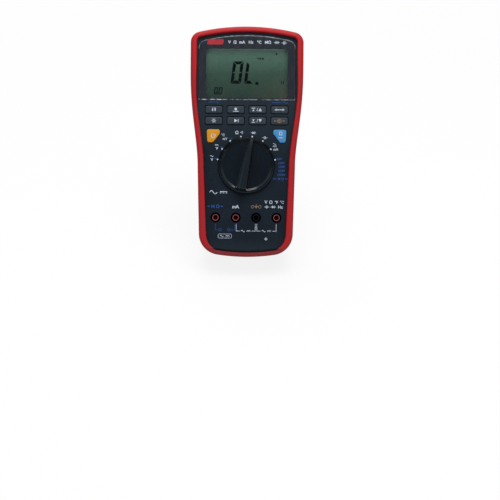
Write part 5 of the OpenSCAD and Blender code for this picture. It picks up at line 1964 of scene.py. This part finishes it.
@dataclass
class Studio:
    """Pale floor, soft lights, white surround and the camera square to the face."""

    look_at: Span = (4.05, 6.5)
    distance: float = 900.0
    lens: float = 69.4
    roll_deg: float = 0.43
    floor_half: float = 4.0
    floor_drop: float = 0.0003
    world: float = 0.34
    aim: tuple[float, float, float] = (0.0, 0.0, 0.09)
    sensor_mm: float = 36.0

    def floor(self) -> None:
        """Makes the floor under the meter."""
        mesh = bpy.data.meshes.new("floor")
        square = np.array([(-1, -1), (1, -1), (1, 1), (-1, 1)]) * self.floor_half
        mesh.from_pydata(at_level(square, -self.floor_drop).tolist(), [], [(0, 1, 2, 3)])
        mesh.materials.append(FloorFinish().build())
        made = bpy.data.objects.new("floor", mesh)
        bpy.context.scene.collection.objects.link(made)

    def surround(self) -> None:
        """Lights evenly from all round, and shows white to the camera and to rays through glass."""
        world = bpy.data.worlds.new("surround")
        bpy.context.scene.world = world
        world.use_nodes = True
        tree = Tree(world.node_tree)
        ray = tree.node("ShaderNodeLightPath").outputs
        seen = tree.maths("MAXIMUM", ray["Is Camera Ray"], ray["Is Transmission Ray"])
        strength = tree.span(seen, 0.0, 1.0, self.world, 1.0)
        glow = tree.node("ShaderNodeBackground", Color=WHITE, Strength=strength)
        tree.node("ShaderNodeOutputWorld", Surface=glow.outputs[0])

    def lamp(self, name: str, place: Sequence[float], size: float, watts: float) -> None:
        """Hangs one soft square lamp that faces the meter.

        Args:
            name: its name.
            place: where it hangs, in metres.
            size: length of its side, in metres.
            watts: its power.
        """
        data = bpy.data.lights.new(name, "AREA")
        data.size = size
        data.energy = watts
        made = bpy.data.objects.new(name, data)
        made.location = place
        aim = Vector(self.aim) - Vector(place)
        made.rotation_euler = aim.to_track_quat("-Z", "Y").to_euler()
        bpy.context.scene.collection.objects.link(made)

    def camera(self) -> None:
        """Sets the camera square to the face, with its foot on the point looked at."""
        foot = STANCE.place(np.array([[self.look_at[0], self.look_at[1], self.distance]]))[0]
        axes = Matrix([tuple(ACROSS), tuple(STANCE.up), tuple(STANCE.out)]).transposed()
        data = bpy.data.cameras.new("camera")
        data.lens = self.lens
        data.sensor_width = self.sensor_mm
        data.dof.use_dof = False
        made = bpy.data.objects.new("camera", data)
        turn = axes @ Matrix.Rotation(math.radians(self.roll_deg), 3, "Z")
        made.matrix_world = Matrix.Translation(Vector(foot)) @ turn.to_4x4()
        bpy.context.scene.collection.objects.link(made)
        bpy.context.scene.camera = made

    def build(self) -> None:
        """Makes the floor, surround, lamps and camera."""
        self.floor()
        self.surround()
        for row in LAMPS:
            self.lamp(*row)
        self.camera()
        bpy.context.scene.view_settings.view_transform = "Standard"


def main() -> None:
    """Loads the frame and dresses the meter part by part."""
    logging.basicConfig(level=logging.INFO, format="%(name)s: %(message)s")
    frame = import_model()
    Studio().build()
    finish = finishes()
    # The common jack's contact wears a near-black painted shade.
    shaded_common_contact = contact("common_contact_brass", (8, 9, 11)).build()
    parts = CaseParts(frame["nodes"], frame["record"]["subparts"])
    parts.build(finish, {"common_contact": shaded_common_contact})
    RubberBoot().build(finish[Slot.BOOT])
    edge = EdgeFinish("window_glint", (116, 124, 134), bands=EDGE_BANDS).build()
    pane = PaneFinish("window_pane", (36, 46, 50), (60, 70, 74)).build()
    DisplayWindow().build(finish[Slot.WINDOW], edge, pane)
    Readout().build()
    Keypad().build(finish)
    SelectorKnob().build(finish[Slot.KNOB])
    FacePrint().build()
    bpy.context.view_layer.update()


if __name__ == "__main__":
    main()
